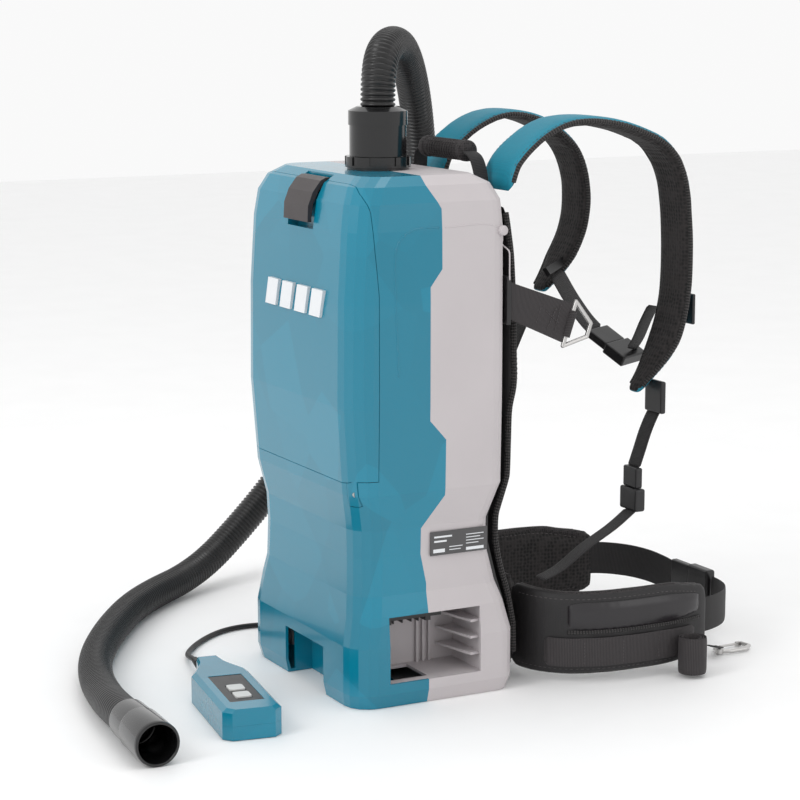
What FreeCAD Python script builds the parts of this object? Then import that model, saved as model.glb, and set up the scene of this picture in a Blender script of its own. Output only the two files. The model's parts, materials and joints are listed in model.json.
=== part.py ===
"""Backpack vacuum cleaner: casing with a hinged dust cover, hose, wired remote control and harness.

Frame: origin on the floor under the middle of the casing, +Z up, -Y the side of the dust cover,
+Y the side of the wearer, +X the side of the rating plate. Millimetres.
"""
import FreeCAD, Part
import math
import os
from FreeCAD import Vector

# ---------------------------------------------------------------- driving dimensions
WALL = 3.0                     # moulded shell thickness
SEAM = 0.6                     # gap between the dust cover and the housing
LOOSE = 0.3                    # gap round anything that turns
RUNNING = 0.05                 # radial clearance of a running fit

CORNER_FRONT = 26.0            # vertical corner radii of the casing
CORNER_REAR = 16.0
CORNER_STEPS = 4

# height, half width, front face and rear face of the casing
LEVELS = [
    (0.0, 121.0, -78.0, 97.0),
    (14.0, 125.0, -81.0, 101.0),
    (62.0, 125.0, -81.0, 101.0),
    (92.0, 122.0, -76.0, 93.0),
    (112.0, 117.0, -73.0, 86.0),
    (150.0, 116.0, -72.0, 76.0),
    (178.0, 117.0, -73.0, 76.0),
    (214.0, 123.0, -80.0, 89.0),
    (300.0, 125.0, -86.0, 89.0),
    (400.0, 125.0, -85.0, 89.0),
    (470.0, 124.0, -81.0, 89.0),
    (496.0, 122.0, -77.0, 87.0),
    (512.0, 115.0, -69.0, 79.0),
    (521.0, 103.0, -55.0, 63.0),
]
CASE_TOP = LEVELS[-1][0]

# parting line of the teal front housing and the grey rear housing, as (y, z)
PARTING = [(1, 0), (2, 120), (-4, 150), (-4, 176), (20, 208), (20, 264), (2, 284), (2, 415), (15, 432),
           (15, 490), (2, 512), (2, 530)]
# edge of the dust cover on the side of the casing, as (y, z)
COVER_EDGE = [(-54, 216), (-54, 410), (-58, 452), (-61, 489), (-66, 506), (-66, 530)]

HINGE_Y, HINGE_Z = -73.0, 216.0
HINGE_SEAM_RADIUS = 13.0       # lower edge of the dust cover is an arc about the hinge
HINGE_PIN_RADIUS = 3.0
HINGE_PIN_X = (100.0, 112.0)
HINGE_BOSS_RADIUS = 12.4
HINGE_BOSS_X = (105.0, 115.0)

LATCH_CENTRE_X = 8.0
LATCH_WIDTH = 55.0
LATCH_POCKET_X = (LATCH_CENTRE_X - LATCH_WIDTH / 2 - 1.5, LATCH_CENTRE_X + LATCH_WIDTH / 2 + 1.5)
LATCH_PIVOT = (-64.0, 508.0)
LATCH_PIN_RADIUS = 1.5

INLET_X, INLET_Y = 10.0, 4.0
INLET_BORE = 19.0
INLET_TUBE_RADIUS = 22.0
LOCK_RING_RADIUS = 33.0
LOCK_RING_Z = (523.4, 534.0)
CONNECTOR_RADIUS = 28.5
CONNECTOR_TOP = 583.0

NOTCH_X = (-35.0, 54.0)        # recess between the two feet
NOTCH_BACK = -51.0
NOTCH_TOP = 50.0

BAY_Y = (-42.0, 60.0)          # battery windows in both side walls
BAY_Z = (24.0, 91.0)
DOCK_INNER_X = 62.0
DOCK_OUTER_X = 121.2
DOCK_WALL = 3.0

MOTOR_X, MOTOR_Y = 0.0, 3.0
MOTOR_RADIUS = 50.0
MOTOR_Z = (113.0, 207.0)
SHAFT_RADIUS = 4.0

HOSE_RADIUS = 17.5
HOSE_WALL = 2.0
HOSE_ROUTE = [
    (10, 4, 583), (10, 4, 604), (0, 12, 629), (-20, 29, 641), (-51, 54, 644), (-85, 81, 637),
    (-117, 107, 614), (-142, 128, 576), (-163, 144, 531), (-180, 158, 481), (-198, 172, 430),
    (-234, 187, 386), (-280, 195, 344), (-325, 190, 298), (-364, 172, 250), (-392, 144, 200),
    (-408, 108, 148), (-410, 68, 100), (-404, 26, 62), (-392, -15, 33), (-372, -57, 19),
    (-339, -103, 17.5), (-294, -148, 17.5), (-240, -188, 17.5), (-180, -226, 17.5),
    (-116, -260, 17.5), (-50, -284, 17.5), (16, -298, 18.5), (62, -304, 20.5), (98, -306, 21.5)]
CUFF_LENGTH = 85.0
CUFF_RADIUS = 21.5
CUFF_BORE = 18.0
CUFF_DIRECTION = Vector(math.cos(math.radians(-3)), math.sin(math.radians(-3)), 0)

CABLE_RADIUS = 2.75
GLAND = Vector(-125.0, 70.0, 34.0)
GLAND_LENGTH = 22.0
COIL_CENTRE = Vector(-195.0, 105.0, 0)
COIL_RADIUS = 30.0
COIL_LAYERS = 3
CABLE_TO_COIL = [(-147, 70, 34), (-158, 70, 34), (-171, 71, 28), (-182, 74, 20), (-192, 75.2, 14.5)]
CABLE_TO_REMOTE = [
    (-165, 100, 2.8), (-166, 74, 2.8), (-173, 44, 2.8), (-186, 12, 2.8), (-200, -19, 2.8), (-209, -50, 2.8),
    (-203, -80, 2.8), (-184, -108, 2.8), (-158, -134, 2.8), (-131, -152, 4), (-105, -159.6, 9),
    (-81.1, -163.4, 12.5)]

REMOTE_ANGLE = -9.0            # direction of the remote control on the floor
REMOTE_FRONT = Vector(150.0, -200.0, 0)
REMOTE_LENGTH = 182.0
REMOTE_WIDTH = 58.0
REMOTE_HEIGHT = 31.0
REMOTE_SPLIT = 14.0
RELIEF_LENGTH = 52.0

PAD_HALF = 98.0
FRAME_HALF = 100.0
STRAP_INNER, STRAP_OUTER = 38.0, 102.0
STRAP_THICK = 12.0
WEBBING_WIDE = 38.0
WEBBING_THIN = 24.0
WEBBING_THICK = 2.0

GRIP_X = (-45.0, 43.0)          # carry handle
GRIP_RADIUS = 11.5

STRAP_RIGHT_PATH = [
    (108, 500), (114, 524), (138, 548), (165, 563), (195, 568), (230, 564), (262, 555), (290, 542), (307, 524),
    (317, 500), (322, 465), (324, 425), (322, 380), (312, 340), (294, 310), (270, 282)]
STRAP_LEFT_PATH = [
    (108, 500), (114, 524), (138, 548), (165, 563), (190, 568), (222, 562), (250, 548), (272, 528), (284, 500),
    (287, 470), (282, 440), (268, 412), (250, 388), (238, 374)]
WING_RIGHT_PATH = [(62, 132), (98, 138), (126, 157), (141, 194), (145, 240), (143, 285), (132, 325)]
WING_LEFT_PATH = [(-62, 132), (-98, 138), (-126, 160), (-138, 200), (-140, 250), (-133, 300), (-117, 345)]
WING_THICK = 22.0
FAR = 300.0                    # reach of cutting shapes past the casing
BELT_Z = (3.0, 100.0)

os.makedirs("parts", exist_ok=True)
X_AXIS, Y_AXIS, Z_AXIS = Vector(1, 0, 0), Vector(0, 1, 0), Vector(0, 0, 1)


# ---------------------------------------------------------------- shape helpers
def box(x_range, y_range, z_range):
    low = Vector(min(x_range), min(y_range), min(z_range))
    return Part.makeBox(abs(x_range[1] - x_range[0]), abs(y_range[1] - y_range[0]),
                        abs(z_range[1] - z_range[0]), low)


def cylinder(radius, base, axis, length):
    return Part.makeCylinder(radius, length, Vector(*base), axis)


def ring(outer, inner, base, axis, length):
    start = Vector(*base)
    unit = Vector(axis)
    unit.normalize()
    return cylinder(outer, start, unit, length).cut(
        cylinder(inner, start - unit, unit, length + 2))


def polygon_face(points):
    vertices = [Vector(*point) for point in points]
    return Part.Face(Part.makePolygon(vertices + vertices[:1]))


def prism_x(points_yz, x_range):
    face = polygon_face([(x_range[0], y, z) for y, z in points_yz])
    return face.extrude(Vector(x_range[1] - x_range[0], 0, 0))


def prism_y(points_xz, y_range):
    face = polygon_face([(x, y_range[0], z) for x, z in points_xz])
    return face.extrude(Vector(0, y_range[1] - y_range[0], 0))


def prism_z(points_xy, z_range):
    face = polygon_face([(x, y, z_range[0]) for x, y in points_xy])
    return face.extrude(Vector(0, 0, z_range[1] - z_range[0]))


def thick_line(path, thickness):
    """Outline of a polyline given a thickness, with mitred corners, as a closed list of (a, b)."""
    left, right = [], []
    for index, (a, b) in enumerate(path):
        before = path[max(index - 1, 0)]
        after = path[min(index + 1, len(path) - 1)]
        run_in = Vector(a - before[0], b - before[1], 0)
        run_out = Vector(after[0] - a, after[1] - b, 0)
        run_in = run_in if run_in.Length > 0 else run_out
        run_out = run_out if run_out.Length > 0 else run_in
        run_in.normalize()
        run_out.normalize()
        mean = run_in + run_out
        mean.normalize()
        reach = thickness / 2 / math.sqrt((1 + run_in.dot(run_out)) / 2)
        left.append((a - mean.y * reach, b + mean.x * reach))
        right.append((a + mean.y * reach, b - mean.x * reach))
    return left + right[::-1]


def ribbon(points, across, width, thickness=WEBBING_THICK):
    """Flat webbing that follows points and keeps one direction across its width."""
    across = Vector(*across)
    across.normalize()
    sections = []
    for index, point in enumerate(points):
        here = Vector(*point)
        before = Vector(*points[max(index - 1, 0)])
        after = Vector(*points[min(index + 1, len(points) - 1)])
        side = (after - before).cross(across)
        side.normalize()
        along = across.cross(side)
        flat = side.cross(along)
        half_w, half_t = flat * (width / 2), side * (thickness / 2)
        corners = [here - half_w - half_t, here + half_w - half_t, here + half_w + half_t, here - half_w + half_t]
        sections.append(Part.makePolygon(corners + corners[:1]))
    return Part.makeLoft(sections, True, True)


def oriented_box(centre, along, across, size):
    """Box with its length along one direction and its width across it."""
    along, across = Vector(*along), Vector(*across)
    along.normalize()
    normal = along.cross(across)
    normal.normalize()
    across = normal.cross(along)
    length, width, height = size
    start = Vector(*centre) - along * (length / 2)
    half_w, half_h = across * (width / 2), normal * (height / 2)
    corners = [start - half_w - half_h, start + half_w - half_h, start + half_w + half_h, start - half_w + half_h]
    return Part.Face(Part.makePolygon(corners + corners[:1])).extrude(along * length)


def rounded(shape, radius, keep=None):
    """Round the edges of a simple block; keep limits it to edges along one direction."""
    edges = []
    for edge in shape.Edges:
        direction = edge.tangentAt(edge.FirstParameter)
        if keep is None or abs(direction.dot(keep)) > 0.99:
            edges.append(edge)
    return shape.makeFillet(radius, edges)


def rod_path(points, radius):
    """Bent wire: cylinders between the points with a ball at each bend."""
    solid = None
    for start, end in zip(points[:-1], points[1:]):
        start, end = Vector(*start), Vector(*end)
        piece = Part.makeCylinder(radius, (end - start).Length, start, end - start)
        piece = piece.fuse(Part.makeSphere(radius, start))
        solid = piece if solid is None else solid.fuse(piece)
    solid = solid.fuse(Part.makeSphere(radius, Vector(*points[-1])))
    return solid.removeSplitter()


def rounded_route(points, label):
    """Straight runs joined by tangent arcs, each as large as its two runs allow."""
    vertices = [Vector(*point) for point in points]
    edges, start, radii = [], vertices[0], []
    for before, corner, after in zip(vertices[:-2], vertices[1:-1], vertices[2:]):
        run_in, run_out = corner - before, after - corner
        turn = run_in.getAngle(run_out)
        reach = 0.45 * min(run_in.Length, run_out.Length)
        radii.append(reach / math.tan(turn / 2))
        run_in.normalize()
        run_out.normalize()
        arc_start, arc_end = corner - run_in * reach, corner + run_out * reach
        bisector = run_out - run_in
        bisector.normalize()
        middle = corner + bisector * (radii[-1] * (1 / math.cos(turn / 2) - 1))
        edges.append(Part.LineSegment(start, arc_start).toShape())
        edges.append(Part.Arc(arc_start, middle, arc_end).toShape())
        start = arc_end
    edges.append(Part.LineSegment(start, vertices[-1]).toShape())
    wire = Part.Wire(edges)
    print(label, "length", round(wire.Length, 1), "radii", [round(radius) for radius in radii])
    return wire


def swept_disc(wire, radius):
    start = wire.Edges[0].valueAt(wire.Edges[0].FirstParameter)
    direction = wire.Edges[0].tangentAt(wire.Edges[0].FirstParameter)
    circle = Part.Wire(Part.Circle(start, direction, radius).toShape())
    return wire.makePipeShell([circle], True, False)


def mirrored(shape):
    return shape.mirror(Vector(0, 0, 0), X_AXIS)


def save(name, *shapes):
    solids = [solid for shape in shapes for solid in shape.Solids]
    whole = solids[0] if len(solids) == 1 else Part.makeCompound(solids)
    if not all(solid.isValid() for solid in solids):
        print("not valid:", name)
    whole.exportStep("parts/" + name + ".step")


def clear_of(shape, *others):
    """A piece with everything that stands in its way taken off; only its largest part is kept."""
    for other in others:
        shape = shape.cut(other)
    return max(shape.Solids, key=lambda solid: solid.Volume)


# ---------------------------------------------------------------- casing
def casing_section(level, inset):
    z, half, front, rear = level
    half, front, rear = half - inset, front + inset, rear - inset
    front_radius, rear_radius = max(CORNER_FRONT - inset, 4), max(CORNER_REAR - inset, 4)
    corners = [(half - front_radius, front + front_radius, front_radius, -90),
               (half - rear_radius, rear - rear_radius, rear_radius, 0),
               (-half + rear_radius, rear - rear_radius, rear_radius, 90),
               (-half + front_radius, front + front_radius, front_radius, 180)]
    points = []
    for centre_x, centre_y, radius, first in corners:
        for step in range(CORNER_STEPS + 1):
            angle = math.radians(first + 90 * step / CORNER_STEPS)
            points.append(Vector(centre_x + radius * math.cos(angle), centre_y + radius * math.sin(angle), z))
    return Part.makePolygon(points + points[:1])


def casing_body(inset, z_shift_bottom=0.0, z_shift_top=0.0):
    levels = [list(level) for level in LEVELS]
    levels[0][0] += z_shift_bottom
    levels[-1][0] -= z_shift_top
    return Part.makeLoft([casing_section(level, inset) for level in levels], True, True)


def side_region(line, reach, gap=0.0):
    """Everything on the -Y side of a (y, z) line, moved towards +Y by a gap."""
    points = [(y + gap, z) for y, z in line]
    return prism_x([(-reach, line[0][1])] + points + [(-reach, line[-1][1])], (-reach, reach))


casing_outer = casing_body(0)
casing_shell = casing_outer.cut(casing_body(WALL, WALL, WALL))
front_region = side_region([(y, z - 1 if z == 0 else z) for y, z in PARTING], FAR)

def hinge_cylinder(radius, x_range):
    return cylinder(radius, (min(x_range), HINGE_Y, HINGE_Z), X_AXIS, abs(x_range[1] - x_range[0]))


def cover_space(gap):
    """Where the dust cover is, with a gap all round; its lower edge turns about the hinge."""
    radius = HINGE_SEAM_RADIUS - gap
    step = box((-FAR, FAR), (HINGE_Y, COVER_EDGE[0][0] + 1), (HINGE_Z - 1, HINGE_Z + radius))
    return side_region(COVER_EDGE, FAR, gap).cut(hinge_cylinder(radius, (-FAR, FAR))).cut(step)


notch = box(NOTCH_X, (-FAR, NOTCH_BACK), (-1, NOTCH_TOP))
notch_skin = box((NOTCH_X[0] - WALL, NOTCH_X[1] + WALL), (-70, NOTCH_BACK + WALL), (0.2, NOTCH_TOP + WALL)).cut(notch)
bay_right = box((110, 140), BAY_Y, BAY_Z)
bay_left = mirrored(bay_right)
inlet_hole = cylinder(INLET_TUBE_RADIUS + LOOSE, (INLET_X, INLET_Y, 400), Z_AXIS, 200)

front_housing = casing_shell.common(front_region).cut(cover_space(SEAM))
front_housing = front_housing.fuse(notch_skin.common(casing_outer)).cut(notch)
front_housing = front_housing.cut(box(LATCH_POCKET_X, (-70, -57.6), (508, 530)))
latch_rib = box((LATCH_CENTRE_X - 16, LATCH_CENTRE_X + 16), (-57.2, -54.4), (511, 519))
front_housing = front_housing.fuse(latch_rib.common(casing_outer))
for side in (-1, 1):
    reach = (side * (HINGE_BOSS_X[0] - 5), side * (HINGE_BOSS_X[0] - 0.5))
    lug = box(reach, (HINGE_Y - 4, HINGE_Y + 12), (HINGE_Z - 18, HINGE_Z + 5))
    front_housing = front_housing.fuse(lug.common(casing_outer))
    pocket = hinge_cylinder(HINGE_SEAM_RADIUS, (side * (HINGE_BOSS_X[0] - 0.4), side * (HINGE_BOSS_X[1] + 1)))
    pin_hole = hinge_cylinder(HINGE_PIN_RADIUS, (side * 96, side * HINGE_BOSS_X[0]))
    front_housing = front_housing.cut(pocket).cut(pin_hole)
front_housing = front_housing.cut(bay_right).cut(bay_left).cut(inlet_hole)
save("front_housing", front_housing)

rear_housing = casing_shell.cut(front_region).cut(bay_right).cut(bay_left).cut(inlet_hole)
VENT_COUNT, VENT_PITCH = 7, 8.0
vent_window = box((-125, -105), (12, 62), (116, 174))
rear_housing = rear_housing.cut(vent_window)
SCREW_PLACES = [(x, z) for x in (-88, 88) for z in (60, 240, 350, 460)]
REAR_Y = {60: 101.0, 240: 89.0, 350: 89.0, 460: 89.0}
screws = []
for x, z in SCREW_PLACES:
    shank = cylinder(2.0, (x, REAR_Y[z] - 12, z), Y_AXIS, 17.4)
    head = cylinder(4.0, (x, REAR_Y[z] + 5.4, z), Y_AXIS, 2.6)
    rear_housing = rear_housing.cut(shank)
    screws.append(shank.fuse(head))
save("rear_housing", rear_housing)

# ---------------------------------------------------------------- dust cover, latch and hinge
cover = casing_shell.common(cover_space(0))
latch_low, latch_high = LATCH_CENTRE_X - LATCH_WIDTH / 2, LATCH_CENTRE_X + LATCH_WIDTH / 2
pocket_x = LATCH_POCKET_X
cover = cover.cut(box(pocket_x, (-FAR, 0), (467, 530)))
cheek_outline = [(-83, 462), (-83.5, 474), (-80, 492), (-73, 505), (-68, 511), (-60, 510.5), (-60, 504), (-67.5, 500),
                 (-67.5, 462)]
for low in (pocket_x[0] - 2.5, pocket_x[1]):
    cover = cover.fuse(prism_x(cheek_outline, (low, low + 2.5)).common(casing_outer))
cover = cover.fuse(box((pocket_x[0] - 2.5, pocket_x[1] + 2.5), (-70, -67.5), (462, 500)))
cover = cover.fuse(box((pocket_x[0] - 2.5, pocket_x[1] + 2.5), (-80.5, -67.5), (463, 467)))
for side in (-1, 1):
    boss_x = sorted((side * HINGE_BOSS_X[0], side * HINGE_BOSS_X[1]))
    arm = box(boss_x, (HINGE_Y - 3.5, HINGE_Y + 7), (HINGE_Z, 250)).common(casing_outer)
    cover = cover.fuse(arm).fuse(hinge_cylinder(HINGE_BOSS_RADIUS, boss_x).common(casing_outer))
    cover = cover.cut(hinge_cylinder(HINGE_PIN_RADIUS + RUNNING, (side * HINGE_PIN_X[0], side * (HINGE_PIN_X[1] + 0.4))))
pin_y, pin_z = LATCH_PIVOT
latch_pin_hole = cylinder(LATCH_PIN_RADIUS, (pocket_x[0] - 2.5, pin_y, pin_z), X_AXIS, LATCH_WIDTH + 8)
rim = box((-104, 104), (-86, -66.1), (240, 456)).cut(box((-101.5, 101.5), (-90, -60), (242.5, 453.5)))
cover = cover.fuse(rim.common(casing_outer))
save("dust_cover", cover.cut(latch_pin_hole))
hinge_pin = hinge_cylinder(HINGE_PIN_RADIUS, HINGE_PIN_X)
save("cover_hinge_pins", hinge_pin, mirrored(hinge_pin))
seal_outer = box((-104, 104), (-66, -63.5), (240, 456))
save("cover_seal", seal_outer.cut(box((-98, 98), (-70, -60), (246, 450))))

latch_outline = [(-86.4, 474), (-85.6, 490), (-80.5, 503), (-72, 514), (-66, 516.8), (-62, 516.8), (-62, 513),
                 (-66, 511), (-74, 504), (-80, 492), (-82, 480), (-82, 474)]
latch = prism_x(latch_outline, (latch_low, latch_high))
latch_ear = cylinder(4.2, (0, pin_y, pin_z), X_AXIS, 5)
hook_outline = [(-66, 504.5), (-52, 504.5), (-51, 509.2), (-54, 509.2), (-54.4, 507.4), (-60, 507.8), (-62.5, 514),
                (-66, 514)]
for low in (latch_low + 1, latch_high - 6):
    latch = latch.fuse(latch_ear.translated(Vector(low, 0, 0)))
latch = latch.fuse(prism_x(hook_outline, (LATCH_CENTRE_X - 12, LATCH_CENTRE_X + 12)))
latch = latch.cut(cylinder(LATCH_PIN_RADIUS + RUNNING, (latch_low - 5, pin_y, pin_z), X_AXIS, LATCH_WIDTH + 10))
save("latch", latch)
save("latch_pin", cylinder(LATCH_PIN_RADIUS, (pocket_x[0] - 2.5, pin_y, pin_z), X_AXIS, LATCH_WIDTH + 8))
spring_x = (latch_high - 13.5, latch_high - 6.5)
save("latch_spring", ring(3.2, 1.8, (spring_x[0], pin_y, pin_z), X_AXIS, spring_x[1] - spring_x[0]))

BADGE_BARS = 4
badge = []
for bar in range(BADGE_BARS):
    low_x = -62 + bar * 34
    outline = [(low_x, 384), (low_x + 24, 384), (low_x + 32, 411), (low_x + 8, 411)]
    badge.append(prism_y(outline, (-88, -84)).cut(casing_outer.common(box((-90, 90), (-90, -60), (370, 420)))))
save("cover_badge", *badge)

# ---------------------------------------------------------------- suction inlet and hose
socket = ring(INLET_TUBE_RADIUS, INLET_BORE, (INLET_X, INLET_Y, 460.4), Z_AXIS, 75.6)
socket = socket.fuse(ring(31, INLET_TUBE_RADIUS - 1, (INLET_X, INLET_Y, 521.2), Z_AXIS, 1.8))
save("inlet_socket", socket)
lock_ring = ring(LOCK_RING_RADIUS, INLET_TUBE_RADIUS + LOOSE, (INLET_X, INLET_Y, LOCK_RING_Z[0]), Z_AXIS,
                 LOCK_RING_Z[1] - LOCK_RING_Z[0])
GRIP_COUNT = 10
for grip in range(GRIP_COUNT):
    slot = box((LOCK_RING_RADIUS - 1.6, LOCK_RING_RADIUS + 3), (-3.2, 3.2), (525.5, 540))
    slot.rotate(Vector(0, 0, 0), Z_AXIS, 360 * grip / GRIP_COUNT)
    lock_ring = lock_ring.cut(slot.translated(Vector(INLET_X, INLET_Y, 0)))
save("lock_ring", lock_ring)
save("inlet_gasket", ring(INLET_TUBE_RADIUS - 0.3, INLET_BORE, (INLET_X, INLET_Y, 536.2), Z_AXIS, 2.2))

connector = cylinder(CONNECTOR_RADIUS, (INLET_X, INLET_Y, 534.4), Z_AXIS, 33)
connector = connector.fuse(cylinder(CONNECTOR_RADIUS + 1.2, (INLET_X, INLET_Y, 565), Z_AXIS, 14))
connector = connector.fuse(Part.makeCone(CONNECTOR_RADIUS + 1.2, HOSE_RADIUS + 4, 4, Vector(INLET_X, INLET_Y, 579)))
connector = connector.cut(cylinder(INLET_TUBE_RADIUS + LOOSE, (INLET_X, INLET_Y, 530), Z_AXIS, 10))
connector = connector.cut(cylinder(HOSE_RADIUS - HOSE_WALL, (INLET_X, INLET_Y, 530), Z_AXIS, 60))
save("hose_connector", connector)

hose_wire = rounded_route(HOSE_ROUTE, "hose")
hose = swept_disc(hose_wire, HOSE_RADIUS).cut(swept_disc(hose_wire, HOSE_RADIUS - HOSE_WALL))
expected = math.pi * (HOSE_RADIUS ** 2 - (HOSE_RADIUS - HOSE_WALL) ** 2) * hose_wire.Length
print("hose volume over section times length", round(hose.Volume / expected, 4))
save("hose", hose)

cuff_start = Vector(*HOSE_ROUTE[-1])
cuff = cylinder(CUFF_RADIUS - 1.5, cuff_start, CUFF_DIRECTION, 36)
cuff = cuff.fuse(cylinder(CUFF_RADIUS, cuff_start + CUFF_DIRECTION * 34, CUFF_DIRECTION, CUFF_LENGTH - 34))
cuff = cuff.cut(cylinder(CUFF_BORE, cuff_start + CUFF_DIRECTION * 20, CUFF_DIRECTION, CUFF_LENGTH))
cuff = cuff.cut(cylinder(HOSE_RADIUS - HOSE_WALL, cuff_start - CUFF_DIRECTION, CUFF_DIRECTION, 40))
save("hose_cuff", cuff)

# ---------------------------------------------------------------- dust chamber, bag and filter
CHAMBER_X, CHAMBER_Y, CHAMBER_Z = 108.0, (-60.0, 58.0), (214.0, 468.0)
chamber = box((-CHAMBER_X, CHAMBER_X), CHAMBER_Y, CHAMBER_Z)
chamber = chamber.cut(box((-CHAMBER_X + 2.5, CHAMBER_X - 2.5), (-70, CHAMBER_Y[1] - 2.5), (216.5, 500)))
chamber = chamber.cut(cylinder(32, (MOTOR_X, MOTOR_Y, 200), Z_AXIS, 30))
bag_holder = box((-CHAMBER_X + 2, CHAMBER_X - 2), (-52, CHAMBER_Y[1] - 2), (461, 464))
bag_holder = bag_holder.cut(cylinder(INLET_TUBE_RADIUS + 2, (INLET_X, INLET_Y, 400), Z_AXIS, 100))
save("dust_chamber", chamber.fuse(bag_holder))
filter_outer = box((-96, 96), (-54, 50), (217, 239))
filter_frame = filter_outer.cut(box((-90, 90), (-48, 44), (210, 245)))
save("filter_frame", filter_frame)
PLEATS = 22
pleat_pitch = 178.0 / PLEATS
zigzag = []
for pleat in range(PLEATS + 1):
    zigzag.append((-89 + pleat * pleat_pitch, 219.5 if pleat % 2 else 236.5))
save("filter_pleats", prism_y(thick_line(zigzag, 1.6), (-47.8, 43.8)))
plate = box((-62, 82), (-52, 52), (456, 460)).cut(cylinder(INLET_BORE + 1, (INLET_X, INLET_Y, 400), Z_AXIS, 100))
save("bag_collar_plate", plate)
dust_bag = rounded(box((-92, 92), (-56, 48), (244, 454)), 22.0)
save("dust_bag", dust_bag)

# ---------------------------------------------------------------- motor and blower
can_low, can_high = MOTOR_Z
motor_can = ring(MOTOR_RADIUS, MOTOR_RADIUS - 2.5, (MOTOR_X, MOTOR_Y, can_low), Z_AXIS, can_high - can_low)
motor_can = motor_can.fuse(ring(MOTOR_RADIUS - 1, 9.0, (MOTOR_X, MOTOR_Y, can_low), Z_AXIS, 3.0))
motor_can = motor_can.fuse(ring(MOTOR_RADIUS - 1, 9.0, (MOTOR_X, MOTOR_Y, 162), Z_AXIS, 3.0))
motor_can = motor_can.fuse(ring(MOTOR_RADIUS - 1, 26.0, (MOTOR_X, MOTOR_Y, can_high - 3), Z_AXIS, 3.0))
AIR_SLOTS = 8
for slot_index in range(AIR_SLOTS):
    slot = box((MOTOR_RADIUS - 6, MOTOR_RADIUS + 4), (-7, 7), (170, 192))
    slot.rotate(Vector(0, 0, 0), Z_AXIS, 360 * (slot_index + 0.5) / AIR_SLOTS)
    motor_can = motor_can.cut(slot.translated(Vector(MOTOR_X, MOTOR_Y, 0)))
save("motor_can", motor_can)
save("motor_stator", ring(MOTOR_RADIUS - 2.8, 25.0, (MOTOR_X, MOTOR_Y, 124), Z_AXIS, 32))
save("motor_bearings", ring(9.0, SHAFT_RADIUS + RUNNING, (MOTOR_X, MOTOR_Y, can_low), Z_AXIS, 6),
     ring(9.0, SHAFT_RADIUS + RUNNING, (MOTOR_X, MOTOR_Y, 160), Z_AXIS, 5))
shaft = cylinder(SHAFT_RADIUS, (MOTOR_X, MOTOR_Y, 111), Z_AXIS, 88)
save("motor_shaft", shaft.fuse(cylinder(23.5, (MOTOR_X, MOTOR_Y, 125), Z_AXIS, 30)))
IMPELLER_RADIUS, BLADES = 42.0, 9
impeller = ring(IMPELLER_RADIUS, SHAFT_RADIUS, (MOTOR_X, MOTOR_Y, 172), Z_AXIS, 2.0)
impeller = impeller.fuse(ring(10, SHAFT_RADIUS, (MOTOR_X, MOTOR_Y, 172), Z_AXIS, 20))
for blade_index in range(BLADES):
    blade = box((9, IMPELLER_RADIUS - 1), (-0.8, 0.8), (173, 188))
    blade.rotate(Vector(9, 0, 0), Z_AXIS, 22)
    blade.rotate(Vector(0, 0, 0), Z_AXIS, 360 * blade_index / BLADES)
    impeller = impeller.fuse(blade.translated(Vector(MOTOR_X, MOTOR_Y, 0)))
impeller = impeller.common(cylinder(IMPELLER_RADIUS, (MOTOR_X, MOTOR_Y, 170), Z_AXIS, 30))
impeller = impeller.cut(shaft)
save("impeller", impeller)
foam = box((-92, 92), (-62, 66), (112, 206)).common(casing_body(WALL + 2))
save("damper_foam", foam.cut(cylinder(MOTOR_RADIUS + 1, (MOTOR_X, MOTOR_Y, 100), Z_AXIS, 120)))
vent_grille = box((-116.8, -110), (12.3, 61.7), (116.3, 173.7)).cut(box((-120, -100), (15, 59), (119, 171)))
for slat in range(VENT_COUNT):
    slat_z = 121 + slat * VENT_PITCH
    outline = [(-116.8, slat_z), (-111, slat_z + 4), (-111, slat_z + 6), (-116.8, slat_z + 2)]
    vent_grille = vent_grille.fuse(prism_y(outline, (14, 60)))
save("exhaust_grille", vent_grille)

# ---------------------------------------------------------------- electronics and battery docks
control_board = box((-48, 48), (-46, 56), (99.5, 101.1))
control_board = control_board.fuse(box((-30, -6), (-20, 8), (101, 108))).fuse(box((8, 32), (-30, -8), (101, 107)))
for index in range(4):
    control_board = control_board.fuse(cylinder(5, (-34 + index * 18, 36, 101), Z_AXIS, 9))


def battery_dock():
    outer = box((DOCK_INNER_X - DOCK_WALL, DOCK_OUTER_X), (-62, 66), (BAY_Z[0] - DOCK_WALL, BAY_Z[1] + DOCK_WALL))
    hollow = box((DOCK_INNER_X, 140), (-58, 62), (BAY_Z[0], BAY_Z[1]))
    dock = outer.cut(hollow).common(casing_body(WALL + 0.4))
    dock = dock.cut(box((DOCK_INNER_X + 6, 112), (-40, 6), (0, BAY_Z[0] + 1)))
    for rib_z in (40, 57, 74):
        rib = prism_z([(66, 62.5), (118, 62.5), (118, 52), (66, 40)], (rib_z, rib_z + 2.5))
        dock = dock.fuse(rib)
    for rib_y in (18, 25, 32):
        dock = dock.fuse(box((DOCK_INNER_X - 0.5, DOCK_INNER_X + 4), (rib_y, rib_y + 2.5), (BAY_Z[0], BAY_Z[1] - 9)))
    return dock


dock_right = battery_dock()
save("battery_docks", dock_right, mirrored(dock_right))


def terminal_block():
    block = box((DOCK_INNER_X + 0.2, 104), (-40, 26), (82, 90.8))
    for rail_y in (-36, 8):
        block = block.fuse(box((DOCK_INNER_X + 0.2, 104), (rail_y, rail_y + 6), (78, 84)))
    for blade_y in (-22, -12, -2, 6):
        block = block.fuse(box((72, 92), (blade_y, blade_y + 1.2), (75, 83)))
    return block


terminal_right = terminal_block()
save("terminal_blocks", terminal_right, mirrored(terminal_right))

rating_plate = prism_x([(6, 147), (70, 147), (70, 171), (6, 171)], (117.4, 118.4))
save("rating_plate", rating_plate)

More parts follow.
